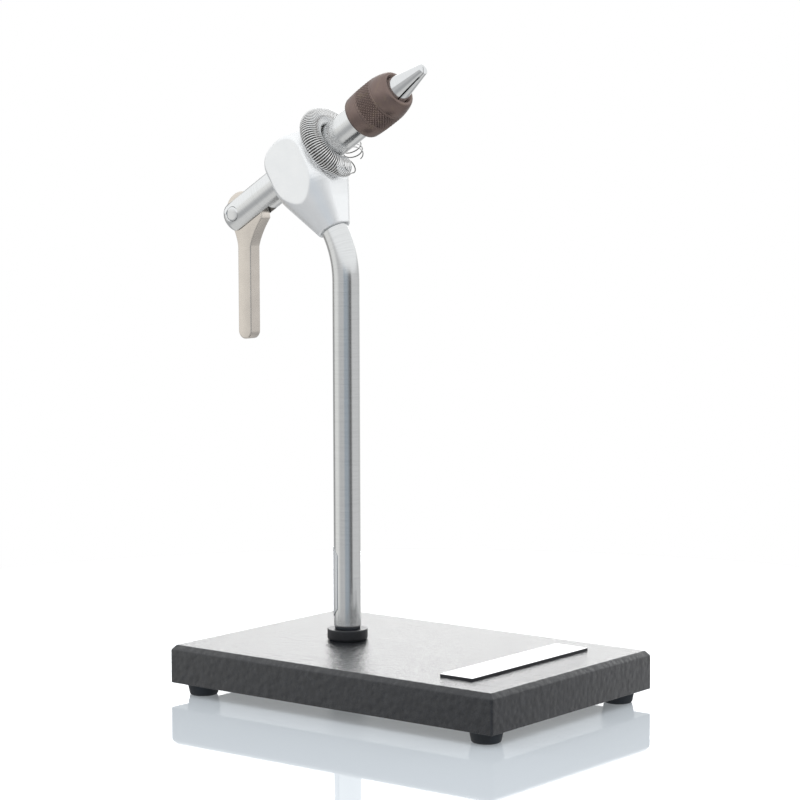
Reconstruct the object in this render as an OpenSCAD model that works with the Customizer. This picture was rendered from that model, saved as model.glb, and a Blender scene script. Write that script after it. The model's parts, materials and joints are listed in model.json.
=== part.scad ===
// Fly tying vise on a pedestal: a bent post on a heavy base carries a rotary head,
// a collet tube with a cam lever at its rear end and split jaws in a knurled nose collar.
// Millimetres. Z is up, the floor is Z = 0, and X runs forward from the lever to the jaws.
// Stations along the tube are measured from the lever pin.

/* [Base] */
// Length of the base plate, front to back
base_l = 186; // [176:1:210]
// Width of the base plate
base_w = 124.5; // [104:0.5:150]
// Thickness of the base plate
base_t = 17.8; // [14:0.2:24]
// Chamfer round the top edge of the base plate
base_chamfer = 2.2; // [1:0.1:4]
// Distance from the rear edge of the base to the axis of the post
post_set = 56.2; // [48:0.2:66]

/* [Feet] */
// Height of a rubber foot
foot_h = 5.9; // [5:0.1:9]
// Diameter of a foot where it meets the base
foot_top_d = 15.4; // [14:0.2:20]
// Diameter of a foot where it meets the floor
foot_d = 12.8; // [11.8:0.2:14]
// Distance from the edges of the base to the axis of a foot
foot_inset = 11; // [9:0.5:20]
// Thread diameter of a foot screw
foot_screw_d = 4; // [3:0.5:4.5]
// Length of a foot screw under its head
foot_screw_l = 12; // [8:0.5:14]

/* [Name plate] */
// Width of the blank plate, front to back
plate_w = 18; // [12:0.5:24]
// Length of the blank plate, across the base
plate_l = 89.6; // [60:0.2:98]
// Thickness of the blank plate
plate_t = 1.2; // [0.8:0.1:2.5]
// Distance from the front edge of the base to the plate
plate_set = 23.2; // [12:0.2:40]

/* [Post] */
// Diameter of the post
post_d = 12.7; // [11.6:0.1:14]
// Height of the start of the bend above the base's underside
bend_h = 186.5; // [170:0.5:230]
// Radius of the bend, at the post's axis
bend_r = 47; // [34:0.5:52]
// Length of post held in the head
post_grip = 22; // [18:0.5:23]
// Diameter of the stud that joins post and base
stud_d = 8; // [6:0.5:9]
// Length of stud held in the post
stud_grip = 20; // [14:1:30]
// Diameter of the lock ring at the foot of the post
ring_d = 19.1; // [16:0.1:24]
// Height of the lock ring
ring_h = 4.7; // [3:0.1:7]
// Height of the blank label wrapped round the post
label_h = 32.7; // [15:0.1:60]
// Height of the label's lower edge above the base's underside
label_z = 29; // [26:0.5:60]
// Angle of the post that the label covers
label_turn = 164; // [90:1:200]
// Thickness of the label
label_t = 0.25; // [0.15:0.05:0.5]

/* [Head] */
// Angle of the tube above level, which is also the angle of the bend
tube_tilt = 31; // [24:1:38]
// Diameter of the turned head
head_d = 36; // [35:0.2:42]
// Width of the head across its two flats
head_flats = 28; // [26:0.5:32]
// Height of the head's top above the tube's axis
head_top = 13.6; // [13:0.1:16]
// Radius of the rounding round the head's top
crown_r = 10; // [2:0.5:10]
// Diameter of the neck where the post goes in
neck_d = 15.6; // [14.8:0.1:18]
// Distance from the tube's axis down to the end of the neck
neck_reach = 35.6; // [35:0.2:42]
// Half angle of the tapering neck
neck_angle = 22.5; // [20:0.5:26]
// Distance from the head's axis to its flat front face
face_reach = 14.5; // [13:0.1:16]
// Length of each bush
bush_l = 8; // [5:0.5:9]
// Wall of a bush
bush_wall = 1.5; // [1:0.1:2]

/* [Tube] */
// Outer diameter of the collet tube
tube_d = 16; // [15.4:0.1:16.4]
// Distance from the lever pin to the head's axis
head_s = 45.7; // [42:0.1:50]
// Distance from the lever pin to the tube's rear end
end_reach = 7.8; // [7.4:0.1:9]
// Radius of the rounding at the tube's rear end
tube_round = 5; // [2:0.5:6]
// Length of the tube from the lever pin to its front end
tube_l = 100.5; // [98:0.5:112]
// Diameter of the two wide bores at the ends of the tube
bore_d = 10; // [9.4:0.1:10.6]
// Station of the rear end of the narrow bore
land_s = 38; // [34:0.5:44]
// Depth of the wide bore at the front end, which holds the shank of the jaws
front_bore_l = 28.5; // [26:0.5:40]
// Diameter of the lever pin
pin_d = 6.8; // [5:0.1:7.2]
// Length of the lever pin
pin_l = 15.5; // [14.6:0.1:15.8]
// Length of the lever slot in front of the pin
slot_l = 19; // [15.5:0.1:20]

/* [Lever] */
// Thickness of the lever
lever_t = 7.4; // [4:0.1:8]
// Width of the lever's handle
grip_w = 8.1; // [6:0.1:10]
// Length of the lever below the pin
grip_l = 60; // [45:1:80]
// Distance of the handle's middle in front of the pin
grip_x = 3.9; // [1:0.1:4.6]
// Reach of the cam towards the push rod with the jaws closed
cam_reach = 13.6; // [12.5:0.1:14.5]
// Travel that the cam gives the jaws over its whole swing
cam_lift = 4; // [2:0.1:4.4]
// Swing of the lever from closed to open
lever_swing = 85; // [60:1:90]

/* [Jaws] */
// Distance from the collar's front end to the tip of the jaws
jaw_reach = 16.4; // [13:0.1:20]
// Diameter of the jaws at their tip
jaw_tip_d = 5.2; // [4:0.1:6]
// Half angle of the jaws' cone
jaw_angle = 12.3; // [11:0.1:12.6]
// Width of the slit between the jaws
slit_w = 1; // [0.6:0.1:1.6]
// Width of the closed line between the gripping pads
pad_gap = 0.25; // [0.15:0.05:0.4]
// Length of the gripping pads
pad_l = 2.6; // [1.5:0.1:5]
// Turn of the slit round the tube's axis
slit_turn = 60; // [0:1:90]
// Diameter of the push rod
rod_d = 6; // [5:0.1:6.6]

/* [Nose collar] */
// Largest diameter of the knurled collar
collar_d = 22.7; // [21.6:0.1:26]
// Length of the collar
collar_l = 26; // [25:0.5:29]
// Distance from the tube's front end to the collar's front end
nose_reach = 11.5; // [10.5:0.1:12.5]

/* [Springs] */
// Wire diameter of the material spring
wire_d = 0.5; // [0.3:0.05:0.55]
// Outer diameter of the material spring's coil
coil_d = 10; // [8:0.1:11]
// Curls in the material spring
coil_count = 50; // [30:1:51]
// Wire diameter of the return spring
return_wire_d = 0.9; // [0.5:0.1:1]
// Curls in the return spring
return_count = 9; // [5:1:11]

/* [Fits] */
// Radial clearance of pieces that turn or slide in each other
run_gap = 0.05; // [0.03:0.01:0.1]
// Clearance of pieces that are fixed in each other
seat_gap = 0.05; // [0.02:0.01:0.1]
// Clearance of pieces that pass each other freely
free_gap = 0.3; // [0.2:0.05:0.5]

/* [Hidden] */
$fn = 96;

// Overrun of cuts past the faces that they open
over = 1;

// Feet and their screws
foot_round = 1;
foot_screw_head_d = 7.4;
foot_screw_head_h = 2.2;
foot_screw_sink = 0.8;

// Foot of the post, from the base's top upwards
gasket_t = 0.4;
gasket_d = ring_d - 4 * gasket_t;
seal_t = 1;
seal_d = 12;
washer_d = 18;
washer_t = 1.2;
nut_af = 13;
nut_h = 3.4;
post_foot_z = base_t + gasket_t + ring_h + seal_t;
post_end_d = post_d - 2 * seat_gap;

// Screws in the head
tension_d = 6;
tension_l = 3.5;
plug_d = 5.8;
plug_l = 2.6;
groove_depth = 0.6;
groove_w = plug_d + 2 * free_gap;
set_screw_d = 5;
set_screw_l = 5.5;
socket_share = 0.5;
socket_depth_share = 0.55;

// Push rod, follower and jaws
follower_l = 6;
shank_l = 26;
jaw_head_l = 1;
relief_d = 2.6;
socket_l = 8;
mouth_l = 6;
closing_l = 4.5;
lip_round = 0.8;

// Places
base_z = foot_h;
bend_end = [-bend_r * (1 - cos(tube_tilt)), base_z + bend_h + bend_r * sin(tube_tilt)];
head_point = bend_end + neck_reach * [-sin(tube_tilt), cos(tube_tilt)];
pin_point = head_point - head_s * [cos(tube_tilt), sin(tube_tilt)];
tube_r = tube_d / 2;
bore_r = bore_d / 2;
// The tube is tilted, so its round rear end reaches back by this share of its distance
rear_share = 1.05;
frame_x = -(pin_point[0] - rear_share * end_reach + base_l - post_set) / 2;
bush_r = tube_r + run_gap + bush_wall;
shank_d = bore_d - 2 * run_gap;
jaw_taper = tan(jaw_angle);
collar_s = tube_l + nose_reach;
jaw_s = collar_s + jaw_reach;
jaw_root_s = collar_s - mouth_l;
function jaw_r(s) = jaw_tip_d / 2 + jaw_taper * (jaw_s - s);
jaw_rear_s = jaw_root_s - jaw_head_l;
shank_s = jaw_rear_s - shank_l;
follower_s = cam_reach + run_gap;
spring_s = head_s + face_reach + free_gap + coil_d / 2;

// Moves into the object's frame: the middle of its box, at floor level
module in_frame() translate([frame_x, 0, 0]) children();

// Moves to a station on the tube's axis: X runs along the tube and Z across it
module on_tube(s = 0)
    in_frame()
        translate([pin_point[0], 0, pin_point[1]])
            rotate([0, -tube_tilt, 0])
                translate([s, 0, 0])
                    children();

// Lays a shape that was drawn along Z along the tube
module along() rotate([0, 90, 0]) children();

// A round bar or hole along the tube, from one station to another
module bar(d, from_s, to_s) translate([from_s, 0, 0]) along() cylinder(d = d, h = to_s - from_s);

// A tube turned from an outline whose points are [station, radius]
module turned(outline) along() rotate_extrude() polygon([for (p = outline) [p[1], p[0]]]);

// A smooth curve of n steps from a to b, drawn towards c
function curve(a, c, b, n) =
    [for (i = [0 : n]) let (t = i / n) (1 - t) * (1 - t) * a + 2 * t * (1 - t) * c + t * t * b];

// Points of an arc round a centre, from angle a0 to a1
function arc(centre, r, a0, a1, n) =
    [for (i = [0 : n]) let (a = a0 + (a1 - a0) * i / n) centre + r * [cos(a), sin(a)]];

// The base: a steel plate with a chamfered top edge and holes for the stud and the foot screws.
module base_plate() {
    half_w = base_w / 2;
    side_h = base_t - base_chamfer;
    color("#26282b") in_frame() translate([-post_set, -half_w, base_z])
        difference() {
            intersection() {
                cube([base_l, base_w, base_t]);
                translate([0, base_w, 0]) rotate([90, 0, 0]) linear_extrude(base_w)
                    polygon([[0, 0], [base_l, 0], [base_l, side_h], [base_l - base_chamfer, base_t],
                        [base_chamfer, base_t], [0, side_h]]);
                rotate([90, 0, 90]) linear_extrude(base_l)
                    polygon([[0, 0], [base_w, 0], [base_w, side_h], [base_w - base_chamfer, base_t],
                        [base_chamfer, base_t], [0, side_h]]);
            }
            translate([post_set, half_w, -over])
                cylinder(d = stud_d + 2 * seat_gap, h = base_t + 2 * over);
            for (x = [foot_inset, base_l - foot_inset], y = [foot_inset, base_w - foot_inset])
                translate([x, y, -over])
                    cylinder(d = foot_screw_d + 2 * seat_gap, h = foot_screw_l - foot_h + foot_screw_sink
                        + foot_screw_head_h + over + free_gap, $fn = 32);
        }
}

// Moves to one foot: side is 1 or -1 along X and along Y
module at_foot(side_x, side_y)
    in_frame()
        translate([base_l / 2 - post_set + side_x * (base_l / 2 - foot_inset),
            side_y * (base_w / 2 - foot_inset), 0])
            children();

// A rubber foot: a tapered puck with a rounded lower edge and a sunk hole for its screw.
module foot(side_x, side_y) {
    slope_x = (foot_top_d - foot_d) / 2;
    color("#17181a") at_foot(side_x, side_y)
        difference() {
            rotate_extrude()
                polygon(concat([[0, 0]],
                    arc([foot_d / 2 - foot_round, foot_round], foot_round, -90, -atan(slope_x / foot_h), 6),
                    [[foot_top_d / 2, foot_h], [0, foot_h]]));
            translate([0, 0, -over])
                cylinder(d = foot_screw_d + 2 * free_gap, h = foot_h + 2 * over, $fn = 32);
            translate([0, 0, -over])
                cylinder(d = foot_screw_head_d + 2 * free_gap,
                    h = foot_screw_sink + foot_screw_head_h + seat_gap + over, $fn = 32);
        }
}

module foot_rear_right() foot(-1, -1);
module foot_rear_left() foot(-1, 1);
module foot_front_right() foot(1, -1);
module foot_front_left() foot(1, 1);

// The four foot screws, which share one node.
module foot_screws()
    color("#55575a")
        for (side_x = [-1, 1], side_y = [-1, 1])
            at_foot(side_x, side_y) translate([0, 0, foot_screw_sink]) {
                difference() {
                    cylinder(d = foot_screw_head_d, h = foot_screw_head_h, $fn = 48);
                    for (a = [0, 90])
                        rotate(a) translate([0, 0, foot_screw_head_h * socket_share / 2])
                            cube([foot_screw_head_d * socket_share, foot_screw_d / 4,
                                foot_screw_head_h * socket_share + over], center = true);
                }
                translate([0, 0, foot_screw_head_h])
                    cylinder(d = foot_screw_d, h = foot_screw_l, $fn = 32);
            }

// The plate on the base: a bare bar of aluminium, glued down, with eased top edges.
module name_plate()
    color("#d9dadb") in_frame()
        translate([base_l - post_set - plate_set - plate_w / 2, 0, base_z + base_t])
            rotate([90, 0, 0]) translate([0, 0, -plate_l / 2]) linear_extrude(plate_l)
                polygon([[-plate_w / 2, 0], [plate_w / 2, 0], [plate_w / 2, plate_t * 3 / 4],
                    [plate_w / 2 - plate_t / 4, plate_t], [plate_t / 4 - plate_w / 2, plate_t],
                    [-plate_w / 2, plate_t * 3 / 4]]);

// The stud that runs from a nut under the base up into the post.
module post_stud()
    color("#8c8f93") in_frame()
        translate([0, 0, base_z - washer_t - nut_h])
            cylinder(d = stud_d, h = washer_t + nut_h + post_foot_z + stud_grip, $fn = 48);

module stud_washer()
    color("#3a3c3f") in_frame() translate([0, 0, base_z - washer_t])
        difference() {
            cylinder(d = washer_d, h = washer_t);
            translate([0, 0, -over]) cylinder(d = stud_d + 2 * seat_gap, h = washer_t + 2 * over);
        }

module stud_nut()
    color("#2c2e30") in_frame() translate([0, 0, base_z - washer_t - nut_h])
        difference() {
            cylinder(d = nut_af / cos(30), h = nut_h, $fn = 6);
            translate([0, 0, -over]) cylinder(d = stud_d + 2 * seat_gap, h = nut_h + 2 * over);
        }

// A gasket, a lock ring and a seal stand on the base under the post.
module ring_gasket()
    color("#101113") in_frame() translate([0, 0, base_z + base_t])
        difference() {
            cylinder(d = gasket_d, h = gasket_t);
            translate([0, 0, -over]) cylinder(d = stud_d + 2 * free_gap, h = gasket_t + 2 * over);
        }

module lock_ring() {
    edge = ring_h / 10;
    color("#1b1c1e") in_frame() translate([0, 0, base_z + base_t + gasket_t])
        rotate_extrude()
            polygon([[stud_d / 2 + seat_gap, 0], [ring_d / 2 - edge, 0], [ring_d / 2, edge],
                [ring_d / 2, ring_h - edge], [ring_d / 2 - edge, ring_h], [stud_d / 2 + seat_gap, ring_h]]);
}

module post_seal()
    color("#0e0f10") in_frame() translate([0, 0, base_z + base_t + gasket_t + ring_h])
        difference() {
            cylinder(d = seal_d, h = seal_t);
            translate([0, 0, -over]) cylinder(d = stud_d + 2 * free_gap, h = seal_t + 2 * over);
        }

// The post: a straight bar, a bend and a short straight end, ground a little thinner, that the
// head grips.
module post() {
    foot_z = base_z + post_foot_z;
    straight = base_z + bend_h - foot_z;
    edge = post_d / 25;
    color("#b9bcbf") in_frame() difference() {
        union() {
            translate([0, 0, foot_z]) rotate_extrude()
                polygon([[0, 0], [post_d / 2 - edge, 0], [post_d / 2, edge], [post_d / 2, straight],
                    [0, straight]]);
            translate([-bend_r, 0, base_z + bend_h]) {
                rotate([90, 0, 0]) rotate_extrude(angle = tube_tilt, $fn = 192)
                    translate([bend_r, 0]) circle(d = post_d);
                rotate([0, -tube_tilt, 0]) translate([bend_r, 0, -over])
                    cylinder(d = post_end_d, h = post_grip + over);
            }
        }
        translate([0, 0, foot_z - over])
            cylinder(d = stud_d + 2 * seat_gap, h = stud_grip + over + free_gap, $fn = 48);
    }
}

// The label: a bare thin sheet wrapped round the rear of the post, with cut corners.
module post_label() {
    inner_r = post_d / 2 + seat_gap;
    cut = label_h / 8;
    color("#c9cbcd") in_frame() translate([0, 0, base_z + label_z])
        difference() {
            rotate(180 - label_turn / 2) rotate_extrude(angle = label_turn)
                translate([inner_r, 0]) square([label_t, label_h]);
            for (side = [-1, 1], z = [0, label_h])
                rotate(180 + side * label_turn / 2) translate([inner_r, 0, z])
                    rotate([45, 0, 0]) cube([post_d / 2, cut, cut], center = true);
        }
}

// The head: turned about the line of the post's end, with two flats, a flat front face,
// a bore for the tube with a seat at each end for a bush, and a socket for the post.
module head() {
    cone_top = -neck_reach + (head_d - neck_d) / 2 / tan(neck_angle);
    round_n = 8;
    blend = (head_d - neck_d) / 6;
    rear = -head_d / 2;
    color("#dfe1e2") on_tube(head_s) difference() {
        rotate_extrude()
            polygon(concat([[0, -neck_reach], [neck_d / 2, -neck_reach]],
                curve([head_d / 2 - blend * tan(neck_angle), cone_top - blend],
                    [head_d / 2, cone_top], [head_d / 2, cone_top + blend], round_n),
                arc([head_d / 2 - crown_r, head_top - crown_r], crown_r, 0, 90, round_n),
                [[0, head_top]]));
        for (side = [-1, 1])
            translate([0, side * (head_flats + head_d) / 2, (head_top - neck_reach) / 2])
                cube([head_d + 2 * over, head_d, neck_reach + head_top + 2 * over], center = true);
        translate([face_reach + head_d / 2, 0, (head_top - neck_reach) / 2])
            cube([head_d, head_d + 2 * over, neck_reach + head_top + 2 * over], center = true);
        bar(tube_d + 4 * free_gap, rear - over, -rear + over);
        bar(2 * (bush_r + seat_gap), rear - over, rear_bush_s + bush_l + seat_gap);
        bar(2 * (bush_r + seat_gap), front_bush_s - seat_gap, -rear + over);
        translate([0, 0, -neck_reach - over])
            cylinder(d = post_d, h = post_grip + over + seat_gap);
        rotate([-90, 0, 0]) cylinder(d = tension_d + 2 * seat_gap, h = head_d, $fn = 48);
        translate([0, 0, screw_h]) rotate([-90, 0, 0])
            cylinder(d = set_screw_d + 2 * seat_gap, h = head_d, $fn = 48);
    }
}

// Stations of the bushes and height of the post's set screw, from the head's middle
rear_bush_s = -sqrt(pow(head_d / 2, 2) - pow(bush_r, 2)) + free_gap;
front_bush_s = face_reach - free_gap - bush_l;
screw_h = -neck_reach + post_grip / 2 + seat_gap;

module bush(s)
    color("#e8e4d8") on_tube(head_s) difference() {
        bar(2 * bush_r, s, s + bush_l);
        bar(tube_d + 2 * run_gap, s - over, s + bush_l + over);
    }

module rear_bush() bush(rear_bush_s);
module front_bush() bush(front_bush_s);

// A nylon plug that a screw presses into the tube's groove: it brakes and holds the tube.
plug_y = tube_r - groove_depth + run_gap;
module tension_plug()
    color("#efece2") on_tube(head_s)
        translate([0, plug_y, 0]) rotate([-90, 0, 0]) cylinder(d = plug_d, h = plug_l, $fn = 48);

// A set screw with a hex socket in its outer end, drawn along +Y
module socket_screw(d, l)
    rotate([-90, 0, 0]) difference() {
        cylinder(d = d, h = l, $fn = 48);
        translate([0, 0, l * (1 - socket_depth_share)])
            cylinder(d = d * socket_share / cos(30), h = l, $fn = 6);
    }

module tension_screw()
    color("#33353a") on_tube(head_s) translate([0, plug_y + plug_l + seat_gap, 0])
        socket_screw(tension_d, tension_l);

module post_set_screw()
    color("#33353a") on_tube(head_s) translate([0, post_end_d / 2 + seat_gap, screw_h])
        socket_screw(set_screw_d, set_screw_l);

// The collet tube: a wide bore at each end, a narrow one between them for the push rod,
// a rounded rear end with a slot for the lever, a hole for its pin and a braking groove.
slot_w = lever_t + free_gap;
module collet_tube() {
    color("#c4c6c8") on_tube() difference() {
        turned(concat([[-end_reach, 0]],
            arc([tube_round - end_reach, tube_r - tube_round], tube_round, 180, 90, 8),
            [[tube_l, tube_r], [tube_l, 0]]));
        bar(bore_d, -tube_d, land_s);
        bar(rod_d + 2 * run_gap, land_s - over, tube_l - front_bore_l + over);
        bar(bore_d, tube_l - front_bore_l, tube_l + over);
        translate([slot_l - tube_d, 0, 0]) cube([2 * tube_d, slot_w, tube_d + 2 * over], center = true);
        rotate([90, 0, 0]) cylinder(d = pin_d + 2 * seat_gap, h = tube_d + 2 * over, center = true);
        translate([head_s, 0, 0]) rotate([0, 90, 0]) rotate_extrude()
            translate([tube_r - groove_depth, -groove_w / 2]) square([groove_depth + over, groove_w]);
    }
}

// The lever pin, with chamfered ends.
module lever_pin() {
    edge = pin_d / 14;
    color("#d0d2d4") on_tube() rotate([90, 0, 0]) translate([0, 0, -pin_l / 2])
        rotate_extrude()
            polygon([[0, 0], [pin_d / 2 - edge, 0], [pin_d / 2, edge], [pin_d / 2, pin_l - edge],
                [pin_d / 2 - edge, pin_l], [0, pin_l]]);
}

// The cam's edge is an involute: its reach in a direction falls evenly with the angle, so the
// flat end of the push rod follows it at a steady rate, a steady distance off the tube's axis.
cam_rate = -cam_lift / (lever_swing * PI / 180);
function cam_point(swing) =
    let (a = swing + tube_tilt, reach = cam_reach - cam_lift * swing / lever_swing)
    reach * [cos(a), sin(a)] + cam_rate * [-sin(a), cos(a)];

// The lever: a flat bar that hangs straight down and widens to a cam round the pin.
cam_first = -3;
cam_last = lever_swing + 12;
cam_steps = 26;
hub_share = 0.95;
hub_angles = [165, 238];
heel_step = 2;
throat_shares = [0.94, -0.045];
throat_pull_shares = [0.65, -0.45];
shoulder_share = 0.95;
heel_pull_shares = [-0.1, -0.65];
module lever() {
    grip_r = grip_w / 2;
    shoulder_z = -shoulder_share * cam_reach;
    hub_r = hub_share * tube_r;
    end_point = cam_point(cam_last);
    end_r = norm(end_point);
    end_a = atan2(end_point[1], end_point[0]);
    heel_a = hub_angles[1] + heel_step;
    outline = concat(
        arc([grip_x, grip_r - grip_l], grip_r, 180, 360, 16),
        curve([grip_x + grip_r, shoulder_z], cam_reach * throat_pull_shares,
            cam_reach * throat_shares, 8),
        [for (i = [0 : cam_steps]) cam_point(cam_first + (cam_last - cam_first) * i / cam_steps)],
        [for (i = [1 : 6]) let (t = i / 7, a = end_a + (hub_angles[0] - end_a) * t)
            (end_r + (hub_r - end_r) * t) * [cos(a), sin(a)]],
        arc([0, 0], hub_r, hub_angles[0], hub_angles[1], 10),
        curve(hub_r * [cos(heel_a), sin(heel_a)], cam_reach * heel_pull_shares,
            [grip_x - grip_r, shoulder_z], 8));
    color("#c9c1b6") in_frame() translate([pin_point[0], lever_t / 2, pin_point[1]]) rotate([90, 0, 0])
        linear_extrude(lever_t) difference() {
            polygon(outline);
            circle(d = pin_d + 2 * run_gap);
        }
}

// The follower: a hardened button that rides on the cam, with a socket for the push rod.
module cam_follower()
    color("#8f8a80") on_tube() difference() {
        bar(shank_d, follower_s, follower_s + follower_l);
        bar(rod_d + 2 * seat_gap, follower_s + follower_l / 2, follower_s + follower_l + over);
    }

// The push rod joins the follower to the jaws through the narrow bore.
rod_s = follower_s + follower_l / 2 + seat_gap;
module push_rod()
    color("#a9abad") on_tube() bar(rod_d, rod_s, shank_s + socket_l - seat_gap);

// The jaws: one piece of steel, a round shank and a cone that a slit parts into two jaws.
// The cone wedges in the collar's mouth when the lever drives the jaws forward.
module jaws() {
    head_r = jaw_r(jaw_root_s);
    color("#b4b7ba") on_tube() difference() {
        union() {
            bar(shank_d, shank_s, jaw_rear_s + over);
            bar(2 * head_r, jaw_rear_s, jaw_root_s);
            translate([jaw_root_s, 0, 0]) along()
                cylinder(r1 = head_r, r2 = jaw_tip_d / 2, h = jaw_s - jaw_root_s);
        }
        bar(rod_d + 2 * seat_gap, shank_s - over, shank_s + socket_l);
        rotate([slit_turn, 0, 0]) {
            translate([slit_s, -tube_d, -slit_w / 2]) cube([jaw_s - pad_l - slit_s, 2 * tube_d, slit_w]);
            translate([slit_s, -tube_d, -pad_gap / 2]) cube([jaw_s + over - slit_s, 2 * tube_d, pad_gap]);
            translate([slit_s, 0, 0]) rotate([90, 0, 0])
                cylinder(d = relief_d, h = tube_d + 2 * over, center = true, $fn = 48);
        }
    }
}
slit_s = shank_s + socket_l + 2 * relief_d;

// The nose collar screws onto the tube. Its mouth matches the cone of the jaws.
collar_shares = [[0, 0.86], [0.02, 0.915], [0.05, 0.945], [0.12, 0.965], [0.27, 0.985],
    [0.28, 0.972], [0.29, 0.99], [0.4, 1], [0.6, 1], [0.695, 0.985], [0.705, 0.967], [0.715, 0.978],
    [0.8, 0.945], [0.9, 0.885], [0.96, 0.83], [0.985, 0.79], [1, 0.745]];
module nose_collar() {
    rear_s = collar_s - collar_l;
    seat_s = jaw_root_s + lip_round;
    mouth_s = seat_s + closing_l - lip_round;
    thread_r = tube_r + run_gap;
    color("#54443f") on_tube() turned(concat(
        [for (p = collar_shares) [rear_s + p[0] * collar_l, p[1] * collar_d / 2]],
        [[collar_s, jaw_r(mouth_s) + 1.5 * lip_round],
            [mouth_s, jaw_r(mouth_s) + run_gap],
            [seat_s, jaw_r(seat_s) + run_gap],
            [jaw_root_s, max(thread_r, jaw_r(jaw_root_s) + run_gap)],
            [jaw_root_s - lip_round, thread_r],
            [rear_s, thread_r]]));
}

// A wire of six sides through a list of [point, outward] pairs, closed at both ends
module wire(track, d) {
    sides = 6;
    last = len(track) - 1;
    rings = [for (i = [0 : last])
        let (
            ahead = track[min(i + 1, last)][0] - track[max(i - 1, 0)][0],
            u = ahead / norm(ahead),
            v = cross(u, track[i][1]),
            side = v / norm(v),
            up = cross(side, u))
        [for (k = [0 : sides - 1]) let (a = 360 * k / sides)
            track[i][0] + d / 2 * (cos(a) * up + sin(a) * side)]];
    points = [for (ring = rings) for (p = ring) p];
    middle = [track[0][0], track[last][0]];
    n = len(points);
    faces = concat(
        [for (i = [0 : last - 1], k = [0 : sides - 1]) let (a = i * sides, b = (k + 1) % sides)
            [a + k, a + sides + k, a + b]],
        [for (i = [0 : last - 1], k = [0 : sides - 1]) let (a = i * sides, b = (k + 1) % sides)
            [a + b, a + sides + k, a + sides + b]],
        [for (k = [0 : sides - 1]) [n, k, (k + 1) % sides]],
        [for (k = [0 : sides - 1]) [n + 1, last * sides + (k + 1) % sides, last * sides + k]]);
    polyhedron(points = concat(points, middle), faces = faces);
}

// The material spring: a coil laid in a ring round the tube. Its two ends reach past the coil
// and are bent over as hooks that link with each other, one hook across the other.
coil_r = (coil_d - wire_d) / 2;
ring_r = tube_r + free_gap + coil_d / 2;
coil_steps = 8;
hook_steps = 14;
hook_opening = 44;
hook_middle = 225;
hook_turn = 200;
hook_reach_share = 0.7;
hook_radius_share = 0.25;
hook_straight_share = 0.35;
// Outward, along-the-ring and forward directions at an angle round the tube
function out_dir(a) = [0, -sin(a), cos(a)];
function ring_dir(a) = [0, -cos(a), -sin(a)];
ahead_dir = [1, 0, 0];
function ring_point(a) = [spring_s, 0, 0] + ring_r * out_dir(a);
function coil_pair(a, turn) =
    let (outward = cos(turn) * out_dir(a) + sin(turn) * ahead_dir)
    [ring_point(a) + coil_r * outward, outward];
// A hook leaves the coil at angle a, runs on along the ring (way is 1 or -1) and bends over:
// rise points from the ring's middle line to the wire where it leaves the coil
function hook(a, way, rise) =
    let (
        run = way * ring_dir(a),
        eye_r = hook_radius_share * coil_d,
        straight = hook_reach_share * coil_d - eye_r)
    [for (i = [1 : hook_steps])
        let (
            t = i / hook_steps,
            s = min(1, t / hook_straight_share),
            b = hook_turn * max(0, t - hook_straight_share) / (1 - hook_straight_share),
            outward = cos(b) * rise + sin(b) * run,
            height = coil_r + (eye_r - coil_r) * s)
        [ring_point(a) + straight * s * run + (s < 1 ? height : eye_r) * outward, outward]];
function spring_track() =
    let (
        first = hook_middle + hook_opening / 2,
        last = first + 360 - hook_opening,
        n = coil_count * coil_steps + coil_steps / 4,
        coil = [for (i = [0 : n]) coil_pair(first + (last - first) * i / n, 360 * i / coil_steps)],
        front_hook = hook(first, -1, out_dir(first)),
        end_hook = hook(last, 1, ahead_dir))
    concat([for (i = [hook_steps - 1 : -1 : 0]) front_hook[i]], coil, end_hook);

// Least distance between the wire's surfaces, measured between points half a curl apart or more
function least_gap(track, d) =
    min([for (i = [0 : len(track) - 1]) for (j = [i + coil_steps / 2 : 1 : len(track) - 1])
        norm(track[i][0] - track[j][0])]) - d;

module material_spring() {
    echo(material_spring_least_gap = least_gap(spring_track(), wire_d));
    color("#cfd0d0") on_tube() wire(spring_track(), wire_d);
}

// The return spring: it opens the jaws when the lever is lifted.
return_r = (bore_d - return_wire_d) / 2 - free_gap;
function return_track() =
    let (
        from_s = follower_s + follower_l + return_wire_d / 2 + seat_gap,
        to_s = land_s - return_wire_d / 2 - seat_gap,
        n = return_count * coil_steps)
    [for (i = [0 : n]) let (a = 360 * i / coil_steps, t = i / n, outward = [0, cos(a), sin(a)])
        [[from_s + (to_s - from_s) * t, 0, 0] + return_r * outward, outward]];

module return_spring() {
    echo(return_spring_least_gap = least_gap(return_track(), return_wire_d));
    color("#9a9c9e") on_tube() wire(return_track(), return_wire_d);
}

base_plate();
foot_rear_right();
foot_rear_left();
foot_front_right();
foot_front_left();
foot_screws();
name_plate();
post_stud();
stud_washer();
stud_nut();
ring_gasket();
lock_ring();
post_seal();
post();
post_label();
head();
rear_bush();
front_bush();
tension_plug();
tension_screw();
post_set_screw();
collet_tube();
lever_pin();
lever();
cam_follower();
return_spring();
push_rod();
jaws();
nose_collar();
material_spring();
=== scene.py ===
# %% [markdown]
# # A fly tying vise, surface by surface
# The vise stands on a heavy painted base. A bent steel post carries a turned head, and in the head
# turns a tilted tube with a cam lever at one end and split jaws at the other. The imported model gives
# every piece its place and size. This script gives each piece its real surface: eased edges, knurling,
# spring wire and finishes. Everything is in metres, with +Z up and +X towards the jaws.

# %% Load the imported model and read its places
import json
import math

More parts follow.
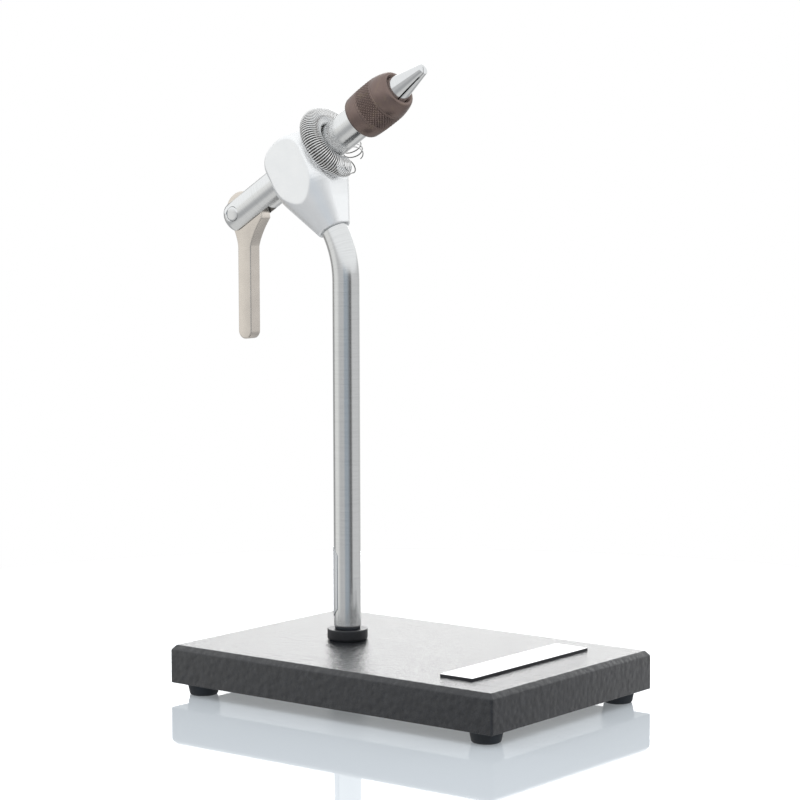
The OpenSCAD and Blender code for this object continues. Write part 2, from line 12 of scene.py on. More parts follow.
import bmesh
import bpy
import numpy as np
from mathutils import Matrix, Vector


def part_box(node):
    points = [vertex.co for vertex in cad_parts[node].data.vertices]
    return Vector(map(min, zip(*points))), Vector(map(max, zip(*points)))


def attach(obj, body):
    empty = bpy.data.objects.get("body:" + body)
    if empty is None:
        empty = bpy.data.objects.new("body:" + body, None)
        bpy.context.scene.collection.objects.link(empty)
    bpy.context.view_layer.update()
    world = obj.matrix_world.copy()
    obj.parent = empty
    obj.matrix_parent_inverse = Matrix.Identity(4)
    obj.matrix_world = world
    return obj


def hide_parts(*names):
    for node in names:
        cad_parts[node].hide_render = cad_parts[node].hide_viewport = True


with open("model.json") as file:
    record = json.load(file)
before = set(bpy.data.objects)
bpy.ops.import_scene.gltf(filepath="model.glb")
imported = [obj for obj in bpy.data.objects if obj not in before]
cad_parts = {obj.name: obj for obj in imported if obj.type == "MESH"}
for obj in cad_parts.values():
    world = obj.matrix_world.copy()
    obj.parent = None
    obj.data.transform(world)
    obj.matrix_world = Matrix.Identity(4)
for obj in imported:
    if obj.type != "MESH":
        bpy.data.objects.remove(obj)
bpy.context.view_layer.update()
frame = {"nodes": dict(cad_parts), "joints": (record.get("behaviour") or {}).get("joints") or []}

MM = 0.001
joints = {j["name"]: j for j in frame["joints"]}
tube_axis = np.array(joints["tube_rotation"]["axis"], float)
tube_axis /= np.linalg.norm(tube_axis)
pin_point = np.array(joints["lever_swing"]["pos_m"], float)
head_point = np.array(joints["tube_rotation"]["pos_m"], float)
tube_up = np.array([-tube_axis[2], 0.0, tube_axis[0]])
tube_tilt = math.atan2(tube_axis[2], tube_axis[0])
HEAD_S = float(np.dot(head_point - pin_point, tube_axis))
print("tube tilt", round(math.degrees(tube_tilt), 3), "degrees; head station", round(HEAD_S / MM, 2), "mm")

# %% [markdown]
# The camera comes first, so that every later render can be laid beside the photograph. Its place was
# solved from the corners of the base: a long lens, a little above the base, turned 38 degrees.

# %% Camera
CAMERA_PLACE = (0.7175, -0.9072, 0.2439)
CAMERA_TURN = (84.794, 0.172, 38.199)
CAMERA_LENS = 113.2
FILM_WIDTH = 36
NEAREST_SEEN = 0.05
VISE_MIDDLE = (0, 0, 0.14)
camera_data = bpy.data.cameras.new("camera")
camera_data.lens = CAMERA_LENS
camera_data.sensor_width = FILM_WIDTH
camera_data.clip_start = NEAREST_SEEN
camera = bpy.data.objects.new("camera", camera_data)
camera.location = CAMERA_PLACE
camera.rotation_euler = [math.radians(a) for a in CAMERA_TURN]
bpy.context.scene.collection.objects.link(camera)
bpy.context.scene.camera = camera
bpy.context.scene.view_settings.view_transform = "Standard"
print("camera stands", round(math.dist(CAMERA_PLACE, VISE_MIDDLE), 3), "m from the vise")

# %% [markdown]
# A material is a small graph of nodes. These helpers keep each recipe short: `node` adds a node and
# links or sets its inputs, `principled` starts a material with the physically based shader, and `feed`
# links what a recipe worked out to the shader's sockets.

# %% Helpers that build node graphs
def node(tree, kind, inputs=None, **settings):
    """Adds a node; inputs maps a socket's name or number to a value or to another node's output."""
    made = tree.nodes.new(kind)
    for key, value in settings.items():
        setattr(made, key, value)
    for key, value in (inputs or {}).items():
        if isinstance(value, bpy.types.NodeSocket):
            tree.links.new(value, made.inputs[key])
        else:
            made.inputs[key].default_value = value
    return made

def principled(name, **values):
    """A new material with a Principled shader; values are plain numbers for its sockets."""
    material = bpy.data.materials.new(name)
    material.use_nodes = True
    tree = material.node_tree
    tree.nodes.clear()
    shader = node(tree, "ShaderNodeBsdfPrincipled")
    for key, value in values.items():
        shader.inputs[key.replace("_", " ")].default_value = value
    output = node(tree, "ShaderNodeOutputMaterial", {"Surface": shader.outputs[0]})
    return material, tree, shader, output

def feed(tree, shader, **sources):
    """Links outputs to sockets of the shader, such as Base_Color=colour."""
    for key, source in sources.items():
        tree.links.new(source, shader.inputs[key.replace("_", " ")])

print("helpers for node graphs ready")

# %% [markdown]
# Every finish is worked out from a place on the object. Noise at that place gives a number from 0 to 1,
# `spread` stretches the part of it that matters, and `tint` or `mixed` turns the number into a colour.

# %% Helpers that work on places, numbers and colours
def object_place(tree, scale=(1, 1, 1), turn=(0, 0, 0)):
    """Object coordinates, stretched and then turned."""
    place = node(tree, "ShaderNodeTexCoord")
    return node(tree, "ShaderNodeMapping", {"Vector": place.outputs["Object"], "Scale": scale,
                                            "Rotation": turn}).outputs[0]

def stored(tree, output="Fac"):
    """What store_flow put on the points of a piece, as a vector or as one number."""
    return node(tree, "ShaderNodeAttribute", attribute_name="flow").outputs[output]

def noise(tree, vector, scale, detail=2.0, roughness=0.5):
    """Smooth random values from 0 to 1: scale counts waves per metre, and detail counts finer layers."""
    return node(tree, "ShaderNodeTexNoise", {"Vector": vector, "Scale": scale, "Detail": detail,
                                             "Roughness": roughness}).outputs[0]

def combine(tree, operation, one, other):
    """One number from two numbers."""
    return node(tree, "ShaderNodeMath", {0: one, 1: other}, operation=operation).outputs[0]

def spread(tree, value, low, high, to_low, to_high):
    """Maps low..high to to_low..to_high and holds the ends."""
    return node(tree, "ShaderNodeMapRange", {"Value": value, "From Min": low, "From Max": high,
                                             "To Min": to_low, "To Max": to_high}).outputs[0]

def tint(tree, value, stops):
    """A colour ramp; stops is a list of (place, (r, g, b))."""
    ramp = node(tree, "ShaderNodeValToRGB", {"Fac": value})
    points = ramp.color_ramp.elements
    while len(points) < len(stops):
        points.new(0.5)
    for point, (place, colour) in zip(points, stops):
        point.position = place
        point.color = (*colour, 1)
    return ramp.outputs[0]

def mixed(tree, factor, one, other):
    """One colour where factor is 0, the other where it is 1."""
    def rgba(colour):
        return colour if isinstance(colour, bpy.types.NodeSocket) else (*colour, 1)
    return node(tree, "ShaderNodeMix", {0: factor, 6: rgba(one), 7: rgba(other)},
                data_type="RGBA").outputs[2]

def bump(tree, shader, height, distance, strength=1.0):
    """Tilts the shading by a height; distance is the relief in metres."""
    made = node(tree, "ShaderNodeBump", {"Height": height, "Distance": distance, "Strength": strength})
    tree.links.new(made.outputs[0], shader.inputs["Normal"])
    return made

def shaded(colour, share):
    """A colour made darker or lighter, with no channel over 1."""
    return tuple(min(1.0, share * c) for c in colour)

print("a grey at 1.5 times its light:", shaded((0.5, 0.5, 0.5), 1.5))

# %% [markdown]
# Polished metal shows the room, so the room matters as much as the metal. The photograph was lit by a
# large softbox overhead in a white studio, with a dark camera side and darker gaps between the panels.
# The world draws that room for glossy rays only: walls of a few plain tones by azimuth at eye level, the
# softbox above them and a plain grey below. Camera rays see plain white, and all other rays get an even
# light, so that painted colours come out as they are written.

# %% World: walls, softbox and floor of the studio
SOFTBOX = (1.05, 1.06, 1.06)
BELOW = (0.45, 0.455, 0.46)
UNDER = (0.70, 0.70, 0.69)
SHADE, DARK, SOFT = (0.3, 0.3, 0.3), (0.15, 0.15, 0.15), (0.7, 0.7, 0.7)
GREY, COOL, LIGHT = (0.6, 0.6, 0.6), (0.4, 0.45, 0.5), (0.9, 0.9, 0.88)
ROOM = [(-180, SHADE), (-162, LIGHT), (-130, LIGHT), (-110, GREY), (-74, GREY), (-66, COOL), (-42, COOL),
        (-20, DARK), (-10, DARK), (0, SOFT), (60, SOFT), (85, GREY), (112, LIGHT), (150, GREY), (180, SHADE)]
SOFTBOX_EDGE, FLOOR_EDGE, UNDER_EDGE = (4, 9), (-26, -12), (-50, -40)
world = bpy.data.worlds.new("studio")
bpy.context.scene.world = world
world.use_nodes = True
world.cycles.sampling_method = "NONE"
sky = world.node_tree
sky.nodes.clear()
sky_place = node(sky, "ShaderNodeTexCoord").outputs["Generated"]
direction = node(sky, "ShaderNodeSeparateXYZ", {0: sky_place}).outputs
azimuth = combine(sky, "ARCTAN2", direction["Y"], direction["X"])

def above(low, high):
    """0 below one elevation, 1 above another, in degrees."""
    return spread(sky, direction["Z"], math.sin(math.radians(low)), math.sin(math.radians(high)), 0, 1)

def round_share(degrees):
    """An azimuth as a share of the way round from -180 to 180 degrees."""
    return (degrees + 180) / 360

round_room = spread(sky, azimuth, -math.pi, math.pi, 0, 1)
room = tint(sky, round_room, [(round_share(degrees), colour) for degrees, colour in ROOM])
room = mixed(sky, above(*FLOOR_EDGE), mixed(sky, above(*UNDER_EDGE), UNDER, BELOW), room)
room = mixed(sky, above(*SOFTBOX_EDGE), room, SOFTBOX)
print("the room has", len(ROOM), "stops of", len({colour for _, colour in ROOM}), "tones")

# %% [markdown]
# Behind the vise stand a grey wall, a tall bright window and its dark sill. The window gives the base its
# sheen. Each is a panel: a product of two soft steps, one round the room and one up the wall.

# %% World: panels behind the vise, and what each kind of ray sees
REAR_WALL, WINDOW, SILL = (0.3, 0.3, 0.3), (2.5, 2.5, 2.5), (0.14, 0.14, 0.15)
PANELS = [((138, 165), (1, 15), REAR_WALL), ((110, 138), (1, 40), WINDOW), ((118, 150), (0.5, 4), SILL)]
PANEL_FADE = 3
EVEN_LIGHT = 0.78
BLACK, WHITE = (0, 0, 0), (1, 1, 1)

def panel(left, right, low, high):
    """1 on a panel of the room between two azimuths and two elevations, in degrees, and 0 elsewhere."""
    across = tint(sky, round_room, [(round_share(left), BLACK), (round_share(left + PANEL_FADE), WHITE),
                                    (round_share(right - PANEL_FADE), WHITE), (round_share(right), BLACK)])
    up = combine(sky, "SUBTRACT", above(low, low + PANEL_FADE), above(high, high + PANEL_FADE))
    return combine(sky, "MULTIPLY", across, up)

for azimuths, elevations, tone in PANELS:
    room = mixed(sky, panel(*azimuths, *elevations), room, tone)
path = node(sky, "ShaderNodeLightPath")
seen = mixed(sky, path.outputs["Is Glossy Ray"], (EVEN_LIGHT,) * 3, room)
seen = mixed(sky, path.outputs["Is Camera Ray"], seen, WHITE)
backdrop = node(sky, "ShaderNodeBackground", {"Color": seen, "Strength": 1.0})
node(sky, "ShaderNodeOutputWorld", {"Surface": backdrop.outputs[0]})
print("world has", len(sky.nodes), "nodes")

# %% [markdown]
# One large soft lamp from the upper right front gives painted pieces a lighter and a darker side. The
# mirror-like pieces already see the studio in the world, so the lamp is hidden from glossy rays.

# %% Lamp
LAMP_PLACE = (0.75, -0.6, 0.95)
LAMP_SIZE = 0.8
LAMP_POWER = 5.0
lamp_data = bpy.data.lights.new("softbox", "AREA")
lamp_data.energy = LAMP_POWER
lamp_data.size = LAMP_SIZE
lamp = bpy.data.objects.new("softbox", lamp_data)
lamp.location = LAMP_PLACE
lamp.rotation_euler = (-lamp.location).to_track_quat("-Z", "Y").to_euler()
lamp.visible_glossy = False
bpy.context.scene.collection.objects.link(lamp)
print("lamp stands", round(lamp.location.length, 2), "m from the vise")

# %% [markdown]
# Nearly every piece is a surface on a grid: rows run along the piece and columns run round it. A few
# small functions turn such a grid into a clean mesh. Points that meet, as at a pole, are merged, and
# edges that turn sharply are marked so that they stay crisp beside smooth curves.

# %% From a grid of points to a mesh
MERGE_WITHIN, COLLAPSE_WITHIN = 2e-7, 1e-7
SHARP_ANGLE = 32

def quads(rows, columns, wrap_rows=False):
    """Faces of a grid whose points are numbered row by row. Each row is joined to a ring, and wrap_rows
    joins the last row to the first as well."""
    r, c = np.meshgrid(np.arange(rows if wrap_rows else rows - 1), np.arange(columns), indexing="ij")
    r2, c2 = (r + 1) % rows, (c + 1) % columns
    return np.stack([r * columns + c, r2 * columns + c, r2 * columns + c2, r * columns + c2],
                    -1).reshape(-1, 4)

def mesh_object(name, parts, sharp=SHARP_ANGLE):
    """One object from (points, faces) pairs; faces are arrays of point numbers or lists of them."""
    points, faces, first = [], [], 0
    for part_points, part_faces in parts:
        flat = np.asarray(part_points, float).reshape(-1, 3)
        points.append(flat)
        faces += [[int(i) + first for i in face] for face in part_faces]
        first += len(flat)
    mesh = bpy.data.meshes.new(name)
    mesh.from_pydata(np.concatenate(points).tolist(), [], faces)
    work = bmesh.new()
    work.from_mesh(mesh)
    bmesh.ops.remove_doubles(work, verts=work.verts, dist=MERGE_WITHIN)
    bmesh.ops.dissolve_degenerate(work, edges=work.edges, dist=COLLAPSE_WITHIN)
    bmesh.ops.recalc_face_normals(work, faces=work.faces)
    work.to_mesh(mesh)
    work.free()
    mesh.shade_smooth()
    mesh.set_sharp_from_angle(angle=math.radians(sharp))
    made = bpy.data.objects.new(name, mesh)
    bpy.context.scene.collection.objects.link(made)
    return made

def closed_grid(grid, wrap_rows=False):
    """Points and faces of a grid of rows x columns x 3 that is closed round its columns."""
    return grid, quads(grid.shape[0], grid.shape[1], wrap_rows)

def capped_grid(grid):
    """A grid that is closed round its columns, with one flat face across its first and its last row."""
    rows, columns = grid.shape[:2]
    last = (rows - 1) * columns
    caps = [list(range(columns)), list(range(last, last + columns))]
    return grid, [list(face) for face in quads(rows, columns)] + caps

print("a box of 2 rows of 4 points has", len(capped_grid(np.zeros((2, 4, 3)))[1]), "faces")

# %% [markdown]
# A finished piece gets its material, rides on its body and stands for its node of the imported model. Some
# materials need more than a place: `store_flow` keeps a vector on each point, such as how far along a
# bent bar the point lies, and the material reads it back.

# %% Finishing a piece
def vertices_of(piece):
    """The points of a piece, one row each."""
    flat = np.empty(len(piece.data.vertices) * 3)
    piece.data.vertices.foreach_get("co", flat)
    return flat.reshape(-1, 3)

def store_flow(piece, values):
    """Stores a vector on every point, which materials read by the name flow."""
    layer = piece.data.attributes.new("flow", "FLOAT_VECTOR", "POINT")
    layer.data.foreach_set("vector", np.asarray(values, np.float32).ravel())

def settle(piece, body, nodes, material):
    """A finished piece gets its material, rides on its body and stands for its nodes of the model."""
    piece.data.materials.clear()
    piece.data.materials.append(material)
    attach(piece, body)
    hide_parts(*nodes)
    print(piece.name, "has", sum(len(p.vertices) - 2 for p in piece.data.polygons), "triangles")
    return piece

print("the model has", len(frame["nodes"]), "nodes to finish")

# %% [markdown]
# Turned pieces start as an outline of a few corners. A machinist breaks every sharp edge, so each
# corner carries a rounding, drawn as a short curve that leaves one side and joins the next.

# %% Outlines with eased corners
def quadratic(start, corner, end, t):
    """A curve drawn towards a corner: (1-t)^2 * start + 2t(1-t) * corner + t^2 * end."""
    return (1 - t) ** 2 * start + 2 * t * (1 - t) * corner + t ** 2 * end

def eased(corners, closed=False, steps=5):
    """An outline as rows of (along, radius). A corner (along, radius, rounding) with a rounding becomes
    a quadratic curve, which starts and ends on the two sides that meet there."""
    rows = []
    count = len(corners)
    t = np.linspace(0, 1, steps + 1)[:, None]
    for i, (along, radius, rounding) in enumerate(corners):
        corner = np.array([along, radius])
        if rounding == 0 or (not closed and i in (0, count - 1)):
            rows.append(corner[None])
            continue
        sides = [np.array(corners[(i + step) % count][:2]) - corner for step in (-1, 1)]
        start, end = [corner + side / np.linalg.norm(side) * min(rounding, np.linalg.norm(side) / 2)
                      for side in sides]
        rows.append(quadratic(start, corner, end, t))
    return np.concatenate(rows)

def resampled(outline, step):
    """Adds points along an outline, so that no two are further apart than step."""
    rows = [outline[:1]]
    for one, other in zip(outline, outline[1:]):
        count = max(1, math.ceil(np.linalg.norm(other - one) / step))
        rows.append(one + (other - one) * np.linspace(0, 1, count + 1)[1:, None])
    return np.concatenate(rows)

print("three corners, the middle one eased:", len(eased([(0, 0, 0), (1, 1, 0.2), (2, 0, 0)])), "points")

# %% [markdown]
# A lathe spins the outline about an axis. The same two lines of trigonometry serve every round piece:
# angles once round, and a direction for each of them. Stations of the model's own pieces along an axis
# say where the outlines begin and end.

# %% Turning about an axis
X_AXIS, Y_AXIS, Z_AXIS = np.eye(3)

def box_corners(node_name):
    """Lowest and highest corner of the box of a model node."""
    return [np.array(corner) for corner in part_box(node_name)]

def full_turn(count):
    """Angles once round, evenly spaced, with no angle twice."""
    return np.linspace(0, 2 * math.pi, count, endpoint=False)

def directions(angle, one, other):
    """A direction for each angle: cos(angle) * one + sin(angle) * other."""
    return np.cos(angle)[:, None] * one + np.sin(angle)[:, None] * other

def turned(outline, origin, axis, out, turns=96):
    """Grid of origin + along * axis + radius * (cos(angle) * out + sin(angle) * side)."""
    ring = directions(full_turn(turns), out, np.cross(axis, out))
    along, radius = outline[:, 0], outline[:, 1]
    return origin + along[:, None, None] * axis + radius[:, None, None] * ring

def extent(node_name, origin, axis):
    """First and last station of a model node along an axis, and its greatest distance from the axis."""
    points = vertices_of(frame["nodes"][node_name]) - origin
    along = points @ axis
    return along.min(), along.max(), np.linalg.norm(points - along[:, None] * axis, axis=1).max()

post_foot = sum(box_corners("lock_ring")) / 2 * X_AXIS
_, tube_to, tube_r = extent("collet_tube", pin_point, tube_axis)
print("post axis at x =", round(post_foot[0] / MM, 2), "mm; tube radius", round(tube_r / MM, 2), "mm")

# %% [markdown]
# Holes and slots are cut from finished grids. The cutter is a closed grid too, and the result is
# stored in the mesh at once, so that no modifier is left on the piece.

# %% Cutting holes
def cut(piece, cutters, sharp=SHARP_ANGLE):
    """Takes cutters away from a piece; each cutter is a list of (points, faces) pairs."""
    for parts in cutters:
        tool = mesh_object("cutter", parts)
        modifier = piece.modifiers.new("cut", "BOOLEAN")
        modifier.operation = "DIFFERENCE"
        modifier.solver = "EXACT"
        modifier.object = tool
        bpy.context.view_layer.update()
        result = bpy.data.meshes.new_from_object(piece.evaluated_get(bpy.context.evaluated_depsgraph_get()))
        piece.modifiers.clear()
        old = piece.data
        piece.data = result
        bpy.data.meshes.remove(old)
        bpy.data.objects.remove(tool)
    piece.data.shade_smooth()
    piece.data.set_sharp_from_angle(angle=math.radians(sharp))
    print(piece.name, "has", len(cutters), "cuts")
    return piece

def round_cutter(outline, origin, axis, out, turns=64):
    """A turned cutter from an outline that starts and ends on the axis."""
    return [closed_grid(turned(np.array(outline), origin, axis, out, turns))]

drill = round_cutter([(0, 0), (0, 1), (1, 1), (1, 0)], pin_point, Y_AXIS, X_AXIS)
print("a plain drill has", len(drill[0][1]), "faces")

# %% [markdown]
# The base carries a hammered powder coat. Powder melts into small domes with valleys between them, so
# the relief is the distance to the nearest cell of a soft Voronoi pattern. The clear top of the coat
# follows the same relief, which breaks up what it mirrors.

# %% Hammered powder coat
HAMMER_CELLS, COAT_GRAIN, COAT_CLOUDS = 360.0, 1900.0, 240.0
HAMMER_RELIEF = 0.34 * MM

def powder_coat():
    """Relief = distance to the nearest cell + a little grain; cloudy noise shades the black."""
    material, tree, shader, _ = principled("powder_coat", Base_Color=(0.014, 0.015, 0.019, 1), Roughness=0.2,
                                           IOR=1.4, Specular_IOR_Level=0.15, Coat_Weight=1.0,
                                           Coat_Roughness=0.08, Coat_IOR=1.5)
    place = object_place(tree)
    cells = node(tree, "ShaderNodeTexVoronoi", {"Vector": place, "Scale": HAMMER_CELLS, "Randomness": 1.0},
                 feature="SMOOTH_F1").outputs["Distance"]
    fine = noise(tree, place, COAT_GRAIN, 3.0, 0.6)
    relief = combine(tree, "ADD", cells, spread(tree, fine, 0.3, 0.7, 0.0, 0.2))
    relief_bump = bump(tree, shader, relief, HAMMER_RELIEF, 0.9)
    shade = noise(tree, place, COAT_CLOUDS, 4.0, 0.7)
    feed(tree, shader, Coat_Normal=relief_bump.outputs[0],
         Base_Color=tint(tree, shade, [(0.3, (0.008, 0.009, 0.012)), (0.7, (0.022, 0.024, 0.029))]),
         Roughness=spread(tree, fine, 0.3, 0.7, 0.16, 0.28))
    return material

painted = powder_coat()
print("powder coat has", len(painted.node_tree.nodes), "nodes")

# %% [markdown]
# The base itself is a thick steel plate. The coat flows over its chamfer, which softens every edge by a
# few tenths of a millimetre. A rounded rectangle is swept down the outline of the edge: each row is the
# same rectangle, drawn in by the inset of the chamfer.

# %% Base plate
BASE_CHAMFER = 2.2 * MM
BASE_CORNER = 1.2 * MM
BASE_EASE = 0.45 * MM
LEAST_CORNER = 0.2 * MM

def rounded_rectangle(half_x, half_y, corner, steps=6):
    """Points round a rectangle: each corner is a quarter circle of radius corner, centred that far in."""
    angle = np.concatenate([np.linspace(q, q + 1, steps + 1) * math.pi / 2 for q in range(4)])
    centre = np.repeat(np.array([[1, 1], [-1, 1], [-1, -1], [1, -1]]), steps + 1, axis=0)
    return np.stack([centre[:, 0] * (half_x - corner) + corner * np.cos(angle),
                     centre[:, 1] * (half_y - corner) + corner * np.sin(angle)], -1)

def plate(low, high, outline, corner):
    """Rows of rounded rectangles between two corners of a box; outline holds rows of (height, inset)."""
    half = (high - low) / 2
    middle = (high + low) / 2
    rings = [rounded_rectangle(half[0] - inset, half[1] - inset, max(corner - inset / 2, LEAST_CORNER))
             for rise, inset in outline]
    return capped_grid(np.stack([np.column_stack([ring + middle[:2], np.full(len(ring), low[2] + rise)])
                                 for ring, rise in zip(rings, outline[:, 0])]))

base_low, base_high = box_corners("base_plate")
base_t = base_high[2] - base_low[2]
base_outline = eased([(0, BASE_EASE, 0), (0, 0, BASE_EASE), (base_t - BASE_CHAMFER, 0, BASE_EASE),
                      (base_t, BASE_CHAMFER, BASE_EASE), (base_t, 2 * BASE_CHAMFER, 0)])
base_plate = mesh_object("painted_base", [plate(base_low, base_high, base_outline, BASE_CORNER)])
settle(base_plate, "stand", ["base_plate"], painted)

# %% [markdown]
# Rubber is matt and never quite even: a fine grain from the mould, and dust that lies in soft clouds,
# which makes it a little lighter and rougher there.

# %% Rubber
def rubber(name, colour, rough):
    """Fine noise is the grain; cloudy noise moves the roughness and the colour from dark to dusty."""
    material, tree, shader, _ = principled(name, Base_Color=(*colour, 1), Roughness=rough,
                                           IOR=1.5, Specular_IOR_Level=0.35)
    place = object_place(tree)
    bump(tree, shader, noise(tree, place, 2600.0, 2.0), 0.04 * MM, 0.5)
    dust = noise(tree, place, 160.0, 4.0, 0.6)
    feed(tree, shader, Roughness=spread(tree, dust, 0.35, 0.7, rough - 0.1, rough + 0.15),
         Base_Color=tint(tree, dust, [(0.35, shaded(colour, 0.7)), (0.75, shaded(colour, 1.6))]))
    return material

black_rubber = rubber("black_rubber", (0.021, 0.026, 0.033), 0.6)
print("rubber has", len(black_rubber.node_tree.nodes), "nodes")

# %% [markdown]
# The feet are moulded rubber pucks, screwed on from below. The screw head sits in a recess, so that it
# can't scratch the bench. One closed outline, turned once for each foot, gives puck and recess.

# %% Feet
FOOT_D = 12.8 * MM
FOOT_EDGE, FOOT_EASE = 1 * MM, 0.2 * MM
FOOT_SCREW_R = 2.3 * MM
FOOT_RECESS_R, FOOT_RECESS_H, RECESS_EASE = 4.0 * MM, 3.05 * MM, 0.1 * MM
for foot_name in ["foot_rear_right", "foot_rear_left", "foot_front_right", "foot_front_left"]:
    low, high = box_corners(foot_name)
    centre = np.array([*(low + high)[:2] / 2, low[2]])
    foot_r, foot_h = (high[0] - low[0]) / 2, high[2] - low[2]
    foot_outline = eased([(0, FOOT_RECESS_R, FOOT_EASE), (0, FOOT_D / 2, FOOT_EDGE),
                          (foot_h, foot_r, FOOT_EASE), (foot_h, FOOT_SCREW_R, 0),
                          (FOOT_RECESS_H, FOOT_SCREW_R, RECESS_EASE),
                          (FOOT_RECESS_H, FOOT_RECESS_R, RECESS_EASE)], closed=True)
    foot = mesh_object("rubber_" + foot_name,
                       [closed_grid(turned(foot_outline, centre, Z_AXIS, X_AXIS, 64), wrap_rows=True)])
    settle(foot, "stand", [foot_name], black_rubber)

# %% [markdown]
# Brushed metal is metal with very long, fine scratches. Noise stretched along the brushing gives them,
# both as a roughness that differs from line to line and as a very low bump.

# %% Brushed metals
def brushed(name, colour, rough, scale, turn=(0, 0, 0), relief=0.006 * MM):
    """Metal with fine lines, which run along the axis where scale is small; turn only moves the noise."""
    material, tree, shader, _ = principled(name, Base_Color=(*colour, 1), Metallic=1.0, Roughness=rough)
    lines = noise(tree, object_place(tree, scale, turn), 1.0, 3.0, 0.6)
    cloud = noise(tree, object_place(tree, (90, 90, 90)), 1.0, 3.0, 0.55)
    stops = [(0.12, shaded(colour, 0.9)), (0.3, colour), (0.45, shaded(colour, 1.06))]
    feed(tree, shader, Roughness=spread(tree, lines, 0.3, 0.7, rough - 0.05, rough + 0.07),
         Base_Color=tint(tree, combine(tree, "MULTIPLY", lines, cloud), stops))
    bump(tree, shader, lines, relief, 0.6)
    return material

plate_metal = brushed("plate_metal", (0.75, 0.76, 0.77), 0.3, (3000, 90, 3000))
print("brushed metal has", len(plate_metal.node_tree.nodes), "nodes")

# %% [markdown]
# The bare plate on the base is cut from aluminium strip, brushed along its length and glued down. Its
# sides get a dark colour as painted shade, so a stored height tells the bright top from the dark sides.

# %% Bare plate
# Painted shade: a dark colour for the plate's sides, where the top stays bright.
PLATE_SIDE_SHADE = (0.06, 0.06, 0.065)
BRIGHT_FROM, BRIGHT_TO = 0.9, 0.98
PLATE_EASE, PLATE_RIM, PLATE_CORNER = 0.3 * MM, 1 * MM, 0.8 * MM
tree = plate_metal.node_tree
shader = next(made for made in tree.nodes if made.type == "BSDF_PRINCIPLED")
brushed_colour = shader.inputs["Base Color"].links[0].from_socket
topness = spread(tree, stored(tree), BRIGHT_FROM, BRIGHT_TO, 0, 1)
feed(tree, shader, Base_Color=mixed(tree, topness, PLATE_SIDE_SHADE, brushed_colour))
plate_low, plate_high = box_corners("name_plate")
plate_t = plate_high[2] - plate_low[2]
plate_outline = eased([(0, 0, 0), (plate_t, 0, PLATE_EASE), (plate_t, PLATE_RIM, 0)])
bare_plate = mesh_object("bare_plate", [plate(plate_low, plate_high, plate_outline, PLATE_CORNER)])
height_share = (vertices_of(bare_plate)[:, 2] - plate_low[2]) / plate_t
store_flow(bare_plate, np.column_stack([height_share] * 3))
settle(bare_plate, "stand", ["name_plate"], plate_metal)

# %% [markdown]
# The post is a ground steel bar, bent cold at its top so that its end points at the head. A circle is
# swept along a path of a straight, an arc and a straight, so the path comes first.

# %% Path of the post
BEND_Z = 192.4 * MM
BEND_R = 47 * MM
POST_GRIP = 22 * MM
bend_start = post_foot + BEND_Z * Z_AXIS

def bent_frame(angle):
    """Directions along the bar and away from the middle of its bend, after a turn by an angle."""
    return (np.stack([-np.sin(angle), 0 * angle, np.cos(angle)], -1),
            np.stack([np.cos(angle), 0 * angle, np.sin(angle)], -1))

def bent_path(station):
    """Point and directions at a distance along the post's axis above the start of its bend: below 0 it
    runs straight up, then it turns on an arc of radius BEND_R to the rear, then it runs straight again."""
    angle = np.clip(station / BEND_R, 0, tube_tilt)
    beyond = np.maximum(station - BEND_R * tube_tilt, 0)
    ahead, out = bent_frame(angle)
    point = (bend_start + np.minimum(station, 0)[:, None] * Z_AXIS - BEND_R * X_AXIS + BEND_R * out
             + beyond[:, None] * ahead)
    return point, ahead, out

bend_end = BEND_R * tube_tilt
print("the post's axis is", round(bend_end / MM, 1), "mm long in the bend")

# %% [markdown]
# The grinding marks run round the bar, also in the bend. So each point stores its own place along the
# path, and the noise is stretched the other way: short along the bar and long round it.

# %% Ground steel
def ground_steel(name, colour, rough, spots):
    """Steel ground round its axis: the lines follow the stored place along the bar."""
    material, tree, shader, _ = principled(name, Base_Color=(*colour, 1), Metallic=1.0, Roughness=rough)
    flow = stored(tree, "Vector")
    lines, coarse = [noise(tree, node(tree, "ShaderNodeMapping", {"Vector": flow, "Scale": scale}).outputs[0],
                           1.0, 3.0, roughness)
                     for scale, roughness in [((130, 130, 4200), 0.65), ((60, 60, 2100), 0.6)]]
    stops = [(0.33, shaded(colour, 0.975 - spots)), (0.5, colour), (0.66, shaded(colour, 1.02))]
    feed(tree, shader, Roughness=spread(tree, lines, 0.3, 0.7, rough - 0.02, rough + 0.04),
         Base_Color=tint(tree, coarse, stops))
    bump(tree, shader, lines, 0.004 * MM, 0.4)
    return material

def post_flow(points):
    """(away from the axis, beside it, along it) for points near the post's axis, worked out backwards:
    the angle about the middle of the bend says on which stretch of the path a point lies."""
    away = points - (bend_start - BEND_R * X_AXIS)
    turn = np.clip(np.arctan2(away[:, 2], away[:, 0]), 0, tube_tilt)
    straight = np.where(turn <= 0, np.minimum(away[:, 2], 0), 0)
    ahead, out = bent_frame(turn)
    beyond = np.where(turn >= tube_tilt, np.sum(away * ahead, -1), 0)
    return np.stack([np.sum(away * out, -1) - BEND_R, away[:, 1], straight + BEND_R * turn + beyond], -1)

post_steel = ground_steel("post_steel", (0.71, 0.72, 0.725), 0.17, 0.03)
print("ground steel has", len(post_steel.node_tree.nodes), "nodes")

# %% [markdown]
# Rows of the post's grid lie close together only where something changes: at the broken edge of its
# foot, and along the bend. Its upper end is hidden in the head.

